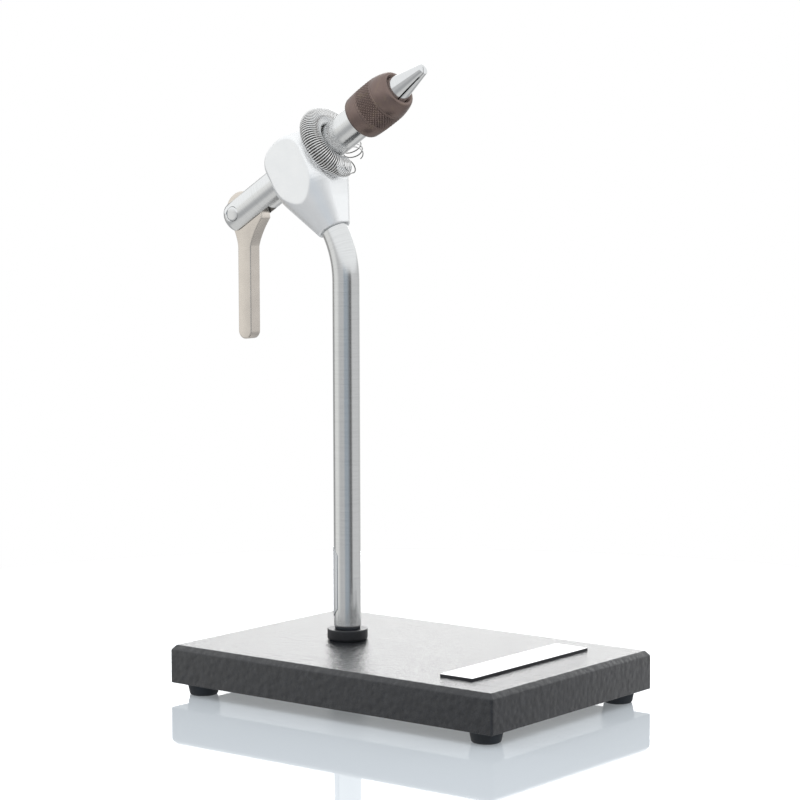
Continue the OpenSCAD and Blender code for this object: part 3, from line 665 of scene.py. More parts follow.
# %% Post
POST_R = 6.35 * MM
POST_TURNS = 96
EDGE_W, EDGE_H, END_EASE = 0.5 * MM, 0.15 * MM, 0.05 * MM
FIRST_ROW = 1 * MM
STRAIGHT_ROWS, BEND_ROWS = 24, 25
post_from, _, _ = extent("post", post_foot, Z_AXIS)
first = post_from - BEND_Z
station = np.concatenate([first + np.array([0, 0, EDGE_H, EDGE_W]),
                          np.linspace(first + FIRST_ROW, 0, STRAIGHT_ROWS),
                          np.linspace(0, bend_end, BEND_ROWS)[1:], [bend_end + POST_GRIP] * 2])
radius = np.full(len(station), POST_R)
radius[:3] = [0, POST_R - EDGE_W, POST_R - EDGE_H]
radius[-2:] = [POST_R - END_EASE, 0]
angle = full_turn(POST_TURNS)
point, ahead, out = bent_path(station)
ring = np.cos(angle)[None, :, None] * out[:, None] + np.sin(angle)[None, :, None] * Y_AXIS
post = mesh_object("ground_post", [closed_grid(point[:, None] + radius[:, None, None] * ring)])
store_flow(post, post_flow(vertices_of(post)))
settle(post, "stand", ["post"], post_steel)

# %% [markdown]
# A rubber gasket, a blackened lock ring and a thin seal sit under the post. They are plain turned rings
# with broken edges, and their places come from the model's own boxes. Black oxide is dark metal with a
# thin, slightly uneven skin of oil.

# %% Rings at the foot of the post
STUD_R = 4.05 * MM
RUBBER_PLAY = 0.25 * MM

def blackened(name, colour=(0.014, 0.015, 0.018), rough=0.34):
    """Cloudy noise moves the skin's roughness and its colour."""
    material, tree, shader, _ = principled(name, Base_Color=(*colour, 1), Metallic=0.35, Roughness=rough,
                                           Coat_Weight=0.25, Coat_Roughness=0.3)
    skin = noise(tree, object_place(tree), 700.0, 4.0, 0.6)
    feed(tree, shader, Roughness=spread(tree, skin, 0.3, 0.7, rough - 0.08, rough + 0.12),
         Base_Color=tint(tree, skin, [(0.3, shaded(colour, 0.75)), (0.7, shaded(colour, 1.4))]))
    bump(tree, shader, skin, 0.01 * MM, 0.4)
    return material

def ring_outline(height, inner, outer, ease):
    """A rectangle from bore to rim; the bore's edges are broken half as much as the rim's."""
    return eased([(0, inner, ease / 2), (0, outer, ease), (height, outer, ease), (height, inner, ease / 2)],
                 closed=True)

black_steel = blackened("black_steel")
for ring_name, finish, slot_name, ease, play in [
        ("ring_gasket", black_rubber, "black_rubber", 0.15 * MM, RUBBER_PLAY),
        ("lock_ring", black_steel, "black_steel", 0.5 * MM, 0),
        ("post_seal", black_rubber, "black_rubber", 0.3 * MM, RUBBER_PLAY)]:
    low, high = box_corners(ring_name)
    outline = ring_outline(high[2] - low[2], STUD_R + play, (high[0] - low[0]) / 2, ease)
    ring_point = post_foot + low[2] * Z_AXIS
    turned_ring = mesh_object("turned_" + ring_name,
                              [closed_grid(turned(outline, ring_point, Z_AXIS, X_AXIS), wrap_rows=True)])
    settle(turned_ring, "stand", [ring_name], finish)

# %% [markdown]
# A bare foil label is wrapped round the rear of the post. It is a sheet a quarter of a millimetre
# thick: angle and height make the grid, and the two sides draw in near the ends for the cut corners.

# %% Label
LABEL_TURN = math.radians(164)
LABEL_CUT = 3.6 * MM
LABEL_T = 0.25 * MM
CUT_ROWS, LABEL_ROWS, LABEL_COLUMNS = 7, 13, 49
foil, tree, shader, _ = principled("label_foil", Base_Color=(0.74, 0.76, 0.78, 1), Metallic=0.55,
                                   Roughness=0.34)
foil_grain = noise(tree, object_place(tree, (900, 900, 5000)), 1.0, 2.0)
feed(tree, shader, Base_Color=tint(tree, foil_grain, [(0.3, (0.70, 0.72, 0.74)), (0.7, (0.79, 0.81, 0.83))]))
bump(tree, shader, foil_grain, 0.004 * MM, 0.5)
label_low, label_high = box_corners("post_label")
label_h = label_high[2] - label_low[2]
label_r = post_foot[0] - label_low[0]
rise = np.concatenate([np.linspace(0, LABEL_CUT, CUT_ROWS),
                       np.linspace(LABEL_CUT, label_h - LABEL_CUT, LABEL_ROWS)[1:-1],
                       np.linspace(label_h - LABEL_CUT, label_h, CUT_ROWS)])
near_end = np.maximum(LABEL_CUT - np.minimum(rise, label_h - rise), 0)
half_turn = LABEL_TURN / 2 - near_end / label_r
across = np.linspace(-1, 1, LABEL_COLUMNS)
angle = np.concatenate([across, across[::-1]])[None] * half_turn[:, None]
radius = np.repeat([label_r, label_r - LABEL_T], LABEL_COLUMNS)[None, :, None]
sheet = (post_foot + (label_low[2] + rise)[:, None, None] * Z_AXIS
         + radius * (np.sin(angle)[..., None] * Y_AXIS - np.cos(angle)[..., None] * X_AXIS))
print("label is", round(LABEL_TURN * label_r / MM, 1), "x", round(label_h / MM, 1), "mm flat")

# %% [markdown]
# The grid goes round the sheet from its outer to its inner side, so its two ends are still open. A row of
# small faces closes each of them.

# %% Ends of the label
count = sheet.shape[1]
end_faces = [[row * count + i, row * count + i + 1, row * count + count - 2 - i, row * count + count - 1 - i]
             for row in (0, len(rise) - 1) for i in range(len(across) - 1)]
label = mesh_object("bare_label", [(sheet, [list(face) for face in quads(*sheet.shape[:2])] + end_faces)])
settle(label, "stand", ["post_label"], foil)

# %% [markdown]
# The head is the most shaped piece: a bar turned to a barrel with a cone below and a crown above. Its
# outline runs up the head's own axis, which stands square to the tube.

# %% Outline of the head
HEAD_R = 18 * MM
NECK_R = 7.8 * MM
CROWN_R = 10 * MM
NECK_HALF_ANGLE = math.radians(22.5)
NECK_EASE, CONE_EASE = 0.5 * MM, 5 * MM
CROWN_ROWS = 20
HEAD_ROW = 0.45 * MM
head_from, head_to, _ = extent("head", head_point, tube_up)
head_outline = eased([(head_from, 0, 0), (head_from, NECK_R, NECK_EASE),
                      (head_from + (HEAD_R - NECK_R) / math.tan(NECK_HALF_ANGLE), HEAD_R, CONE_EASE),
                      (head_to - CROWN_R, HEAD_R, 0)])
quarter = np.linspace(0, math.pi / 2, CROWN_ROWS)[1:]
crown = np.column_stack([head_to - CROWN_R + CROWN_R * np.sin(quarter),
                         HEAD_R - CROWN_R + CROWN_R * np.cos(quarter)])
head_outline = resampled(np.concatenate([head_outline, crown, [[head_to, 0]]]), HEAD_ROW)
print("head outline has", len(head_outline), "rows over", round((head_to - head_from) / MM, 1), "mm")

# %% [markdown]
# The barrel is milled to two flats and a flat face, and the face runs on down the cone as a narrow
# facet. In polar coordinates each of these is one limit on the radius, and the smallest limit wins. A
# power mean takes that smallest value softly, which eases every edge between two surfaces just as
# tumbling does.

# %% Flats, face and facet of the head
HEAD_TURNS = 288
HEAD_SOFTNESS = 150
NECK_CUT, FACET_CUT, FACET_RUN = 0.4 * MM, 1.2 * MM, 5 * MM
NEARLY_0, LEAST_COSINE = 1e-9, 1e-6
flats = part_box("head")[1].y
face_at = extent("head", head_point, tube_axis)[1]

def soft_least(limits, softness):
    """The smallest of several limits, eased where two are alike: (sum of limit^-n)^(-1/n)."""
    least = limits.min(0)
    return least * np.sum((least / limits) ** softness, 0) ** (-1 / softness)

angle = full_turn(HEAD_TURNS)
barrel = head_outline[:, 1:]
flat_limit = flats / np.maximum(np.abs(np.sin(angle)), LEAST_COSINE)
facet_cut = NECK_CUT + (FACET_CUT - NECK_CUT) * np.clip((barrel - NECK_R) / FACET_RUN, 0, 1)
face_limit = np.clip(barrel - facet_cut, NEARLY_0, face_at) / np.maximum(np.cos(angle), LEAST_COSINE)
limits = np.stack([np.repeat(barrel, HEAD_TURNS, 1) + NEARLY_0,
                   np.repeat(flat_limit[None], len(barrel), 0), face_limit])
head_grid = (head_point + head_outline[:, :1, None] * tube_up
             + soft_least(limits, HEAD_SOFTNESS)[..., None] * directions(angle, tube_axis, Y_AXIS))
head = mesh_object("turned_head", [closed_grid(head_grid)])
print("head grid", head_grid.shape[:2])

# %% [markdown]
# The head is bored through for the tube and its two bushes, from below for the post, and from its left
# side for two screws. Every cutter is an outline as well, with a small cone where a drill would be
# followed by a countersink.

# %% Bores of the head
PLAY = 0.05 * MM
BREAK = 0.35 * MM
CORE_R = 8.6 * MM
SOCKET_LIP = 1 * MM
TENSION_R, TENSION_START = 3.05 * MM, 5 * MM
POST_SCREW_R = 2.55 * MM
_, bush_to, bush_r = extent("rear_bush", head_point, tube_axis)
front_from, _, _ = extent("front_bush", head_point, tube_axis)
seat_r = bush_r + PLAY
beyond = HEAD_R + 2 * MM
bore = [(-beyond, 0), (-beyond, seat_r), (bush_to + PLAY, seat_r), (bush_to + PLAY, CORE_R),
        (front_from - PLAY, CORE_R), (front_from - PLAY, seat_r), (face_at - BREAK, seat_r),
        (face_at + BREAK, seat_r + 2 * BREAK), (beyond, seat_r + 2 * BREAK), (beyond, 0)]
socket = [(head_from - SOCKET_LIP, 0), (head_from - SOCKET_LIP, POST_R + SOCKET_LIP + 2 * BREAK),
          (head_from + 2 * BREAK, POST_R), (head_from + POST_GRIP, POST_R), (head_from + POST_GRIP, 0)]
tension_hole = [(TENSION_START, 0), (TENSION_START, TENSION_R), (flats - BREAK, TENSION_R),
                (flats + BREAK, TENSION_R + 2 * BREAK), (beyond, TENSION_R + 2 * BREAK), (beyond, 0)]
screw_hole = [(0, 0), (0, POST_SCREW_R), (beyond, POST_SCREW_R), (beyond, 0)]
screw_low, screw_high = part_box("post_set_screw")
screw_point = np.array([(screw_low.x + screw_high.x) / 2, 0, (screw_low.z + screw_high.z) / 2])
cut(head, [round_cutter(bore, head_point, tube_axis, tube_up, 128),
           round_cutter(socket, head_point, tube_up, tube_axis, 96),
           round_cutter(tension_hole, head_point, Y_AXIS, X_AXIS),
           round_cutter(screw_hole, screw_point, Y_AXIS, X_AXIS)])

# %% [markdown]
# The head was tumbled with fine grit, so it shines softly and shows no direction. Very fine noise gives
# the grit, and wide soft noise keeps the large faces from looking flat.

# %% Tumbled aluminium
head_metal, tree, shader, _ = principled("head_metal", Base_Color=(0.93, 0.945, 0.96, 1), Metallic=0.75,
                                         Roughness=0.34)
grit = noise(tree, object_place(tree), 3200.0, 3.0, 0.6)
cloud = noise(tree, object_place(tree), 140.0, 4.0, 0.55)
bump(tree, shader, grit, 0.01 * MM, 0.7)
feed(tree, shader, Base_Color=tint(tree, cloud, [(0.3, (0.91, 0.925, 0.94)), (0.7, (0.95, 0.96, 0.97))]),
     Roughness=spread(tree, grit, 0.3, 0.7, 0.29, 0.39))
settle(head, "stand", ["head"], head_metal)

# %% [markdown]
# Two plain bushes carry the tube in the head. They are short rings with a lead-in at each end.

# %% Bushes
BUSH_EASE = 0.35 * MM
nylon, tree, shader, _ = principled("nylon", Base_Color=(0.80, 0.78, 0.72, 1), Roughness=0.45,
                                    Subsurface_Weight=0.1, Subsurface_Scale=0.001)
nylon_grain = noise(tree, object_place(tree), 900.0, 3.0)
feed(tree, shader, Base_Color=tint(tree, nylon_grain, [(0.3, (0.76, 0.74, 0.67)), (0.7, (0.84, 0.82, 0.76))]))
bump(tree, shader, nylon_grain, 0.01 * MM, 0.3)
for bush_name in ["rear_bush", "front_bush"]:
    bush_from, bush_to, bush_r = extent(bush_name, head_point, tube_axis)
    outline = ring_outline(bush_to - bush_from, tube_r + PLAY, bush_r, BUSH_EASE)
    bush_point = head_point + bush_from * tube_axis
    bush = mesh_object("turned_" + bush_name,
                       [closed_grid(turned(outline, bush_point, tube_axis, tube_up), wrap_rows=True)])
    settle(bush, "stand", [bush_name], nylon)

# %% [markdown]
# The collet tube turns in the head. It is turned from bar: a broad rounding at the rear end, a groove for
# the braking plug and a bore of three steps. One outline, turned about the tube's axis, gives all of it.

# %% Collet tube
BORE_R = 5 * MM
ROD_BORE_R = 3.05 * MM
LAND_FROM, LAND_TO = 38 * MM, 72 * MM
GROOVE_DEPTH, GROOVE_W = 0.6 * MM, 6.4 * MM
END_REACH, END_ROUND = 7.8 * MM, 5 * MM
END_ROWS = 14
GROOVE_EASE, LAND_EASE, BORE_EASE, FRONT_EASE = 0.1 * MM, 0.2 * MM, 0.3 * MM, 0.5 * MM
TUBE_TURNS, TUBE_ROW = 128, 6 * MM
inset = np.linspace(tube_r - BORE_R - BORE_EASE, 0, END_ROWS)
end_round = np.column_stack([END_ROUND - END_REACH - np.sqrt(END_ROUND ** 2 - (END_ROUND - inset) ** 2),
                             tube_r - inset])
groove_r = tube_r - GROOVE_DEPTH
groove_from, groove_to = HEAD_S - GROOVE_W / 2, HEAD_S + GROOVE_W / 2
outer = eased([(groove_from, tube_r, GROOVE_EASE), (groove_from, groove_r, GROOVE_EASE),
               (groove_to, groove_r, GROOVE_EASE), (groove_to, tube_r, GROOVE_EASE),
               (tube_to, tube_r, FRONT_EASE), (tube_to, BORE_R, BORE_EASE), (LAND_TO, BORE_R, 0),
               (LAND_TO, ROD_BORE_R, LAND_EASE), (LAND_FROM, ROD_BORE_R, LAND_EASE), (LAND_FROM, BORE_R, 0),
               (end_round[0, 0] + BORE_EASE, BORE_R, 0)])
tube_outline = resampled(np.concatenate([end_round, outer]), TUBE_ROW)
tube_grid = turned(tube_outline, pin_point, tube_axis, tube_up, TUBE_TURNS)
tube = mesh_object("collet_tube_body", [closed_grid(tube_grid, wrap_rows=True)])
print("tube outline has", len(tube_outline), "points")

# %% [markdown]
# A slot for the lever and a hole for its pin are cut across the rear end. The hole is a little wider than
# its pin and broken at both mouths, which draws the thin dark ring round the pin.

# %% Slot and pin hole of the tube
SLOT_FRONT, SLOT_W = 19 * MM, 7.7 * MM
PIN_R, PIN_PLAY = 3.4 * MM, 0.2 * MM
HOLE_EDGE = 0.3 * MM

def block(low, high):
    """A box in the tube's own frame, from two corners (along, across, up)."""
    corner = np.array([[(low, high)[i][0], (low, high)[j][1], (low, high)[k][2]]
                       for i in (0, 1) for j in (0, 1) for k in (0, 1)])
    points = pin_point + corner[:, :1] * tube_axis + corner[:, 1:2] * Y_AXIS + corner[:, 2:] * tube_up
    return points, [[0, 1, 3, 2], [4, 6, 7, 5], [0, 4, 5, 1], [2, 3, 7, 6], [0, 2, 6, 4], [1, 5, 7, 3]]

def tube_flow(points):
    """(up, across, along) in the tube's own frame."""
    away = points - pin_point
    return np.stack([away @ tube_up, away[:, 1], away @ tube_axis], -1)

slot_cutter = [block((-2 * tube_r, -SLOT_W / 2, -2 * tube_r), (SLOT_FRONT, SLOT_W / 2, 2 * tube_r))]
hole_r = PIN_R + PIN_PLAY
mouth_r = hole_r + HOLE_EDGE
pin_hole = [(-2 * tube_r, 0), (-2 * tube_r, mouth_r), (-tube_r + HOLE_EDGE, mouth_r),
            (-tube_r + 2 * HOLE_EDGE, hole_r), (tube_r - 2 * HOLE_EDGE, hole_r),
            (tube_r - HOLE_EDGE, mouth_r), (2 * tube_r, mouth_r), (2 * tube_r, 0)]
cut(tube, [slot_cutter, round_cutter(pin_hole, pin_point, Y_AXIS, X_AXIS)])
tube_steel = ground_steel("tube_steel", (0.78, 0.79, 0.795), 0.2, 0.02)
store_flow(tube, tube_flow(vertices_of(tube)))
settle(tube, "rotor", ["collet_tube"], tube_steel)

# %% [markdown]
# The lever pin is a ground dowel. Its ends are slightly domed and its edge is broken, so it shows as a
# bright disc inside a thin dark ring, which is the clearance of its hole.

# %% Lever pin
DOME, DOME_SHARE, DOME_ROWS = 0.25 * MM, 0.88, 8
PIN_EDGE = 0.15 * MM
_, pin_to, _ = extent("lever_pin", pin_point, Y_AXIS)
dome = [(pin_to - DOME * share ** 2, PIN_R * share) for share in np.linspace(0, DOME_SHARE, DOME_ROWS)]
dome_outline = np.array([(-along, r) for along, r in dome] + [(-pin_to + DOME + PIN_EDGE, PIN_R)]
                        + [(pin_to - DOME - PIN_EDGE, PIN_R)] + dome[::-1])
jaw_steel = ground_steel("jaw_steel", (0.74, 0.75, 0.76), 0.13, 0.03)
pin = mesh_object("domed_pin", [closed_grid(turned(dome_outline, pin_point, Y_AXIS, X_AXIS, 64))])
store_flow(pin, vertices_of(pin) - pin_point)
settle(pin, "rotor", ["lever_pin"], jaw_steel)

# %% [markdown]
# The working edge of the cam is an involute, whose reach falls evenly as the lever swings: reach =
# cam_reach - lift * swing / full swing. That is why the jaws open at a steady rate.

# %% Working edge of the cam
CAM_REACH, CAM_LIFT = 13.6 * MM, 4 * MM
CAM_FROM, CAM_TO, CAM_POINTS = -28, 97, 96
SWING = math.radians(joints["lever_swing"]["range_deg"][1])

def cam_edge(swing):
    """Involute point: reach along the direction of the swing, plus the reach's rate across it."""
    a = swing + tube_tilt
    reach = CAM_REACH - CAM_LIFT * swing / SWING
    along = np.column_stack([np.cos(a), np.sin(a)])
    across = np.column_stack([-np.sin(a), np.cos(a)])
    return reach[:, None] * along - CAM_LIFT / SWING * across

cam = cam_edge(np.radians(np.linspace(CAM_FROM, CAM_TO, CAM_POINTS)))
print("cam reaches", round(CAM_REACH / MM, 1), "mm and lifts", round(CAM_LIFT / MM, 1), "mm")

# %% [markdown]
# The rest of the lever is drawn round that edge, in the plane of the bar: a long grip with a round end, a
# throat that widens to the cam, a shoulder that falls from the cam's end to the hub, and the hub itself.

# %% Outline of the lever
GRIP_W, GRIP_L, GRIP_X = 8.1 * MM, 60 * MM, 3.9 * MM
HUB_SHARE = 0.95
HUB_FROM, HUB_TO, HEEL = 165, 238, 240
SHOULDER_DROP, SHOULDER_POINTS = 1.15, 15
FRONT_PULL, REAR_PULL = (0.69, -0.7), (-0.1, -0.65)

def arc(centre, radius, start, end, steps):
    """centre + radius * (cos, sin) from one angle to another, in degrees."""
    return np.array(centre) + radius * directions(np.radians(np.linspace(start, end, steps + 1)), *np.eye(2))

def curve(start, pull, end, steps):
    """Quadratic curve from start to end, drawn towards pull."""
    return quadratic(np.array(start), np.array(pull), np.array(end), np.linspace(0, 1, steps + 1)[:, None])

grip_r, hub_r = GRIP_W / 2, HUB_SHARE * tube_r
shoulder_z = -SHOULDER_DROP * CAM_REACH
front_pull, rear_pull = [tuple(share * CAM_REACH for share in pull) for pull in (FRONT_PULL, REAR_PULL)]
cam_end_r, cam_end_a = np.linalg.norm(cam[-1]), math.degrees(math.atan2(cam[-1][1], cam[-1][0]))
t = np.linspace(0, 1, SHOULDER_POINTS)[1:-1]
a = np.radians(cam_end_a + (HUB_FROM - cam_end_a) * t)
shoulder = (cam_end_r + (hub_r - cam_end_r) * t)[:, None] * np.column_stack([np.cos(a), np.sin(a)])
heel = math.radians(HEEL)
lever_outline = np.concatenate([
    arc((GRIP_X, grip_r - GRIP_L), grip_r, 180, 360, 28),
    curve((GRIP_X + grip_r, shoulder_z), front_pull, cam[0], 20)[:-1],
    cam, shoulder, arc((0, 0), hub_r, HUB_FROM, HUB_TO, 24),
    curve((hub_r * math.cos(heel), hub_r * math.sin(heel)), rear_pull, (GRIP_X - grip_r, shoulder_z), 20)])
print("lever outline has", len(lever_outline), "points")

# %% [markdown]
# The bar is rumbled after cutting, which leaves an even round edge. Rows of the outline are drawn in near
# both faces, and their normals say which way is in. Nickel plate gives it a warm, quiet shine.

# %% Cam lever
LEVER_T = 6.9 * MM
LEVER_EASE = 0.6 * MM
LEVER_SHARP = 50

def slab(outline, thickness, ease, steps=4):
    """Rows of an outline from one face to the other; near each face it is drawn in along its normals by
    ease * (1 - sin(angle)), while its depth grows by ease * (1 - cos(angle)), which rounds the edge."""
    ahead = np.roll(outline, -1, 0) - np.roll(outline, 1, 0)
    normal = np.column_stack([-ahead[:, 1], ahead[:, 0]])
    normal /= np.linalg.norm(normal, axis=1)[:, None]
    quarter = np.linspace(0, math.pi / 2, steps + 1)
    inset, depth = ease * (1 - np.sin(quarter)), ease * (1 - np.cos(quarter))
    inset = np.concatenate([inset, inset[::-1]])
    depth = np.concatenate([depth, thickness - depth[::-1]]) - thickness / 2
    rows = outline[None] + inset[:, None, None] * normal
    return np.stack([rows[..., 0], np.repeat(depth[:, None], len(outline), 1), rows[..., 1]], -1)

lever_grid = slab(lever_outline, LEVER_T, LEVER_EASE) + pin_point
lever = mesh_object("cam_lever_bar", [capped_grid(lever_grid)], sharp=LEVER_SHARP)
lever_hole = [(-LEVER_T, 0), (-LEVER_T, PIN_R + PLAY), (LEVER_T, PIN_R + PLAY), (LEVER_T, 0)]
cut(lever, [round_cutter(lever_hole, pin_point, Y_AXIS, X_AXIS)], sharp=LEVER_SHARP)
lever_metal = brushed("lever_metal", (0.76, 0.705, 0.645), 0.28, (220, 2600, 2600), (0, math.radians(90), 0),
                      relief=0.0015 * MM)
settle(lever, "cam_lever", ["lever"], lever_metal)

# %% [markdown]
# The nose collar narrows to its mouth, where the jaws' cone leaves it. Its outside is a smooth curve
# through a few shares of its length and diameter, with a fine line at each end of the grip. Its bore runs
# on the tube and then follows the cone.

# %% Outline of the nose collar
COLLAR_D, COLLAR_L = 22.7 * MM, 26 * MM
COLLAR_SHARES = [(0, 0.86), (0.02, 0.915), (0.05, 0.945), (0.12, 0.965), (0.27, 0.985), (0.28, 0.972),
                 (0.29, 0.99), (0.4, 1), (0.6, 1), (0.695, 0.985), (0.705, 0.967), (0.715, 0.978),
                 (0.8, 0.945), (0.9, 0.885), (0.96, 0.83), (0.985, 0.79), (1, 0.745)]
KNURL_FROM, KNURL_TO = 0.295, 0.69
JAW_TIP_R = 2.6 * MM
JAW_TAPER = math.tan(math.radians(12.3))
CONE_L, CONE_STEP = 6 * MM, 0.8 * MM
MOUTH_L, LIP_W, LIP_AT = 1.5 * MM, 1.2 * MM, 0.7 * MM
RIM_AT, RIM_W = 0.35 * MM, 1.1 * MM
_, collar_to, _ = extent("nose_collar", pin_point, tube_axis)
_, jaw_to, _ = extent("jaws", pin_point, tube_axis)
collar_from = collar_to - COLLAR_L
jaw_root = collar_to - CONE_L

def jaw_radius(station):
    """Radius of the jaws' cone at a station along the tube."""
    return JAW_TIP_R + JAW_TAPER * (jaw_to - station)

def beside_cone(station):
    """A point of the collar's bore that clears the cone."""
    return station, jaw_radius(station) + PLAY

shares = np.array(COLLAR_SHARES)
knurl_from, knurl_to = [collar_from + share * COLLAR_L for share in (KNURL_FROM, KNURL_TO)]
smooth_curve = np.column_stack([collar_from + shares[:, 0] * COLLAR_L, shares[:, 1] * COLLAR_D / 2])
rear = smooth_curve[shares[:, 0] < KNURL_FROM]
front = smooth_curve[shares[:, 0] > KNURL_TO]
mouth = [(collar_to, jaw_radius(collar_to - LIP_AT) + LIP_W),
         (collar_to - RIM_AT, jaw_radius(collar_to) + RIM_W),
         beside_cone(collar_to - MOUTH_L), beside_cone(jaw_root + CONE_STEP), beside_cone(jaw_root),
         (jaw_root - CONE_STEP, tube_r + PLAY), (collar_from, tube_r + PLAY)]
print("collar runs from", round(collar_from / MM, 1), "to", round(collar_to / MM, 1), "mm along the tube")

# %% [markdown]
# The grip is a diamond knurl: two families of fine grooves wind round it in opposite directions. On the
# grid that is a formula. Each family is a triangle wave, 1 on its ridges and 0 in its grooves, and the
# lower wave sets how far the radius drops. The grid's diagonals follow the grooves exactly.

# %% Knurled nose collar
KNURL_COUNT, KNURL_STEPS = 44, 8
KNURL_DEPTH, KNURL_LAND, KNURL_FADE = 0.55 * MM, 1.15, 1.5
OUTSIDE_SHARE, ROW_PLAY = 0.9, 0.01
COLLAR_SHARP = 40
knurl_pitch = math.pi * COLLAR_D / KNURL_COUNT
pitches = round((knurl_to - knurl_from) / knurl_pitch)
knurl_rows = np.linspace(knurl_from, knurl_to, pitches * KNURL_STEPS + 1)
knurled = np.column_stack([knurl_rows, np.interp(knurl_rows, smooth_curve[:, 0], smooth_curve[:, 1])])
collar_outline = np.concatenate([rear, knurled, front, mouth])
angle = full_turn(KNURL_COUNT * KNURL_STEPS)

def wave(phase):
    """Triangle wave: 0 in the groove, 1 on the ridge, once per unit of phase."""
    return 1 - np.abs(2 * (phase - np.floor(phase)) - 1)

row = (collar_outline[:, 0] - knurl_from) / (knurl_to - knurl_from) * pitches
column = angle / (2 * math.pi) * KNURL_COUNT
in_band = ((row > -ROW_PLAY) & (row < pitches + ROW_PLAY)
           & (collar_outline[:, 1] > OUTSIDE_SHARE * COLLAR_D / 2))
ridge = np.minimum(wave(row[:, None] + column), wave(row[:, None] - column))
fade = np.clip(np.minimum(row, pitches - row) * KNURL_FADE, 0, 1)
drop = np.where(in_band, fade, 0)[:, None] * KNURL_DEPTH * (1 - np.minimum(1, KNURL_LAND * ridge))
collar_grid = (pin_point + collar_outline[:, :1, None] * tube_axis
               + (collar_outline[:, 1:] - drop)[..., None] * directions(angle, tube_up, Y_AXIS))
collar = mesh_object("knurled_collar", [closed_grid(collar_grid, wrap_rows=True)], sharp=COLLAR_SHARP)
print("knurl has", KNURL_COUNT, "grooves each way over", pitches, "pitches")

# %% [markdown]
# The collar is bronze, darkened in a bath. The bath takes unevenly, so cloudy noise moves the brown
# between three near tones.

# %% Darkened bronze
collar_metal, tree, shader, _ = principled("collar_metal", Base_Color=(0.22, 0.165, 0.15, 1), Metallic=0.9,
                                           Roughness=0.3)
patina = noise(tree, object_place(tree), 260.0, 4.0, 0.6)
browns = [(0.3, (0.20, 0.150, 0.135)), (0.55, (0.22, 0.165, 0.15)), (0.75, (0.25, 0.195, 0.155))]
feed(tree, shader, Base_Color=tint(tree, patina, browns),
     Roughness=spread(tree, patina, 0.3, 0.7, 0.36, 0.44))
bump(tree, shader, noise(tree, object_place(tree), 2400.0, 2.0), 0.006 * MM, 0.5)
settle(collar, "collar", ["nose_collar"], collar_metal)

# %% [markdown]
# The jaws are one hardened bar, split lengthwise up to a solid shank. The outline of one half runs from
# the shank over a small step and down the cone to the tip, where two pads close on the hook. The gap is
# how far the flat inside stands from the middle: it is wide behind and narrow between the pads.

# %% Outline of the jaws
SLIT_TURN = math.radians(60)
SLIT_W, PAD_GAP, PAD_L = 0.65 * MM, 0.25 * MM, 2.6 * MM
SHANK_R, SHANK_L, SHANK_EDGE = 4.95 * MM, 26 * MM, 0.2 * MM
ROD_SOCKET_L, RELIEF_L = 8 * MM, 5.2 * MM
HEAD_L, STEP_EASE, ROOT_EASE, TIP_EASE, TIP_FLAT = 1 * MM, 0.2 * MM, 0.1 * MM, 0.22 * MM, 0.7
JAW_ROW = 0.8 * MM
slit_side = math.cos(SLIT_TURN) * tube_up - math.sin(SLIT_TURN) * Y_AXIS
slit_along = np.cross(tube_axis, slit_side)
jaw_rear = jaw_root - HEAD_L
shank_from = jaw_rear - SHANK_L
split_from = shank_from + ROD_SOCKET_L + RELIEF_L
root_r = jaw_radius(jaw_root)
half_outline = eased([(split_from, SHANK_R, 0), (jaw_rear, SHANK_R, 0), (jaw_rear, root_r, STEP_EASE),
                      (jaw_root, root_r, ROOT_EASE), (jaw_to, JAW_TIP_R, TIP_EASE),
                      (jaw_to, JAW_TIP_R * TIP_FLAT, 0)])
half_outline = resampled(half_outline, JAW_ROW)
gap = np.where(half_outline[:, 0] > jaw_to - PAD_L, PAD_GAP, SLIT_W) / 2
print("jaws stand", round((jaw_to - collar_to) / MM, 1), "mm out of the collar")

# %% [markdown]
# Each half has a D-shaped section: a round back and a flat inside. In polar coordinates about the middle
# of the D, the round and the flat are two limits on the radius, and the same soft minimum as on the head
# eases the long edges.

# %% Jaws
JAW_SOFTNESS, HALF_TURNS = 60, 96

def pointed(grid, first, last):
    """A grid with one more row at each end, all of whose points are the same, which closes it."""
    return np.concatenate([np.broadcast_to(first, grid[:1].shape), grid,
                           np.broadcast_to(last, grid[:1].shape)])

def jaw_half(sign):
    """Rows of D sections: about a middle halfway between the slit and the back, the wall is the nearer
    of the circle of the jaw and the plane of the slit."""
    station, radius = half_outline.T
    angle = full_turn(HALF_TURNS)
    up, across = np.sin(angle)[None], np.cos(angle)[None]
    centre, size = ((gap + radius) / 2)[:, None], radius[:, None]
    to_circle = -centre * up + np.sqrt(np.maximum(size ** 2 - (centre * across) ** 2, 0))
    to_plane = (centre - gap[:, None]) / np.maximum(-up, LEAST_COSINE)
    wall = soft_least(np.stack([to_circle, to_plane]), JAW_SOFTNESS)
    grid = (pin_point + station[:, None, None] * tube_axis
            + sign * (centre + wall * up)[..., None] * slit_side + (wall * across)[..., None] * slit_along)
    return closed_grid(pointed(grid, grid[0].mean(0), grid[-1].mean(0)))

shank_outline = np.array([(shank_from, 0), (shank_from, SHANK_R - SHANK_EDGE),
                          (shank_from + SHANK_EDGE, SHANK_R), (split_from, SHANK_R), (split_from, 0)])
jaws = mesh_object("split_jaws", [jaw_half(1), jaw_half(-1),
                                  closed_grid(turned(shank_outline, pin_point, tube_axis, tube_up))])
store_flow(jaws, tube_flow(vertices_of(jaws)))
settle(jaws, "jaw_carriage", ["jaws"], jaw_steel)

# %% [markdown]
# The material spring is a long coil of fine wire, bent into a ring round the tube; thread is tucked
# between its curls. The wire circles the ring's middle line while that line goes round the tube. The
# first curls are drawn apart, so equal turns of the coil are unequal steps round the ring, and a running
# sum of the pitch gives each point its place.

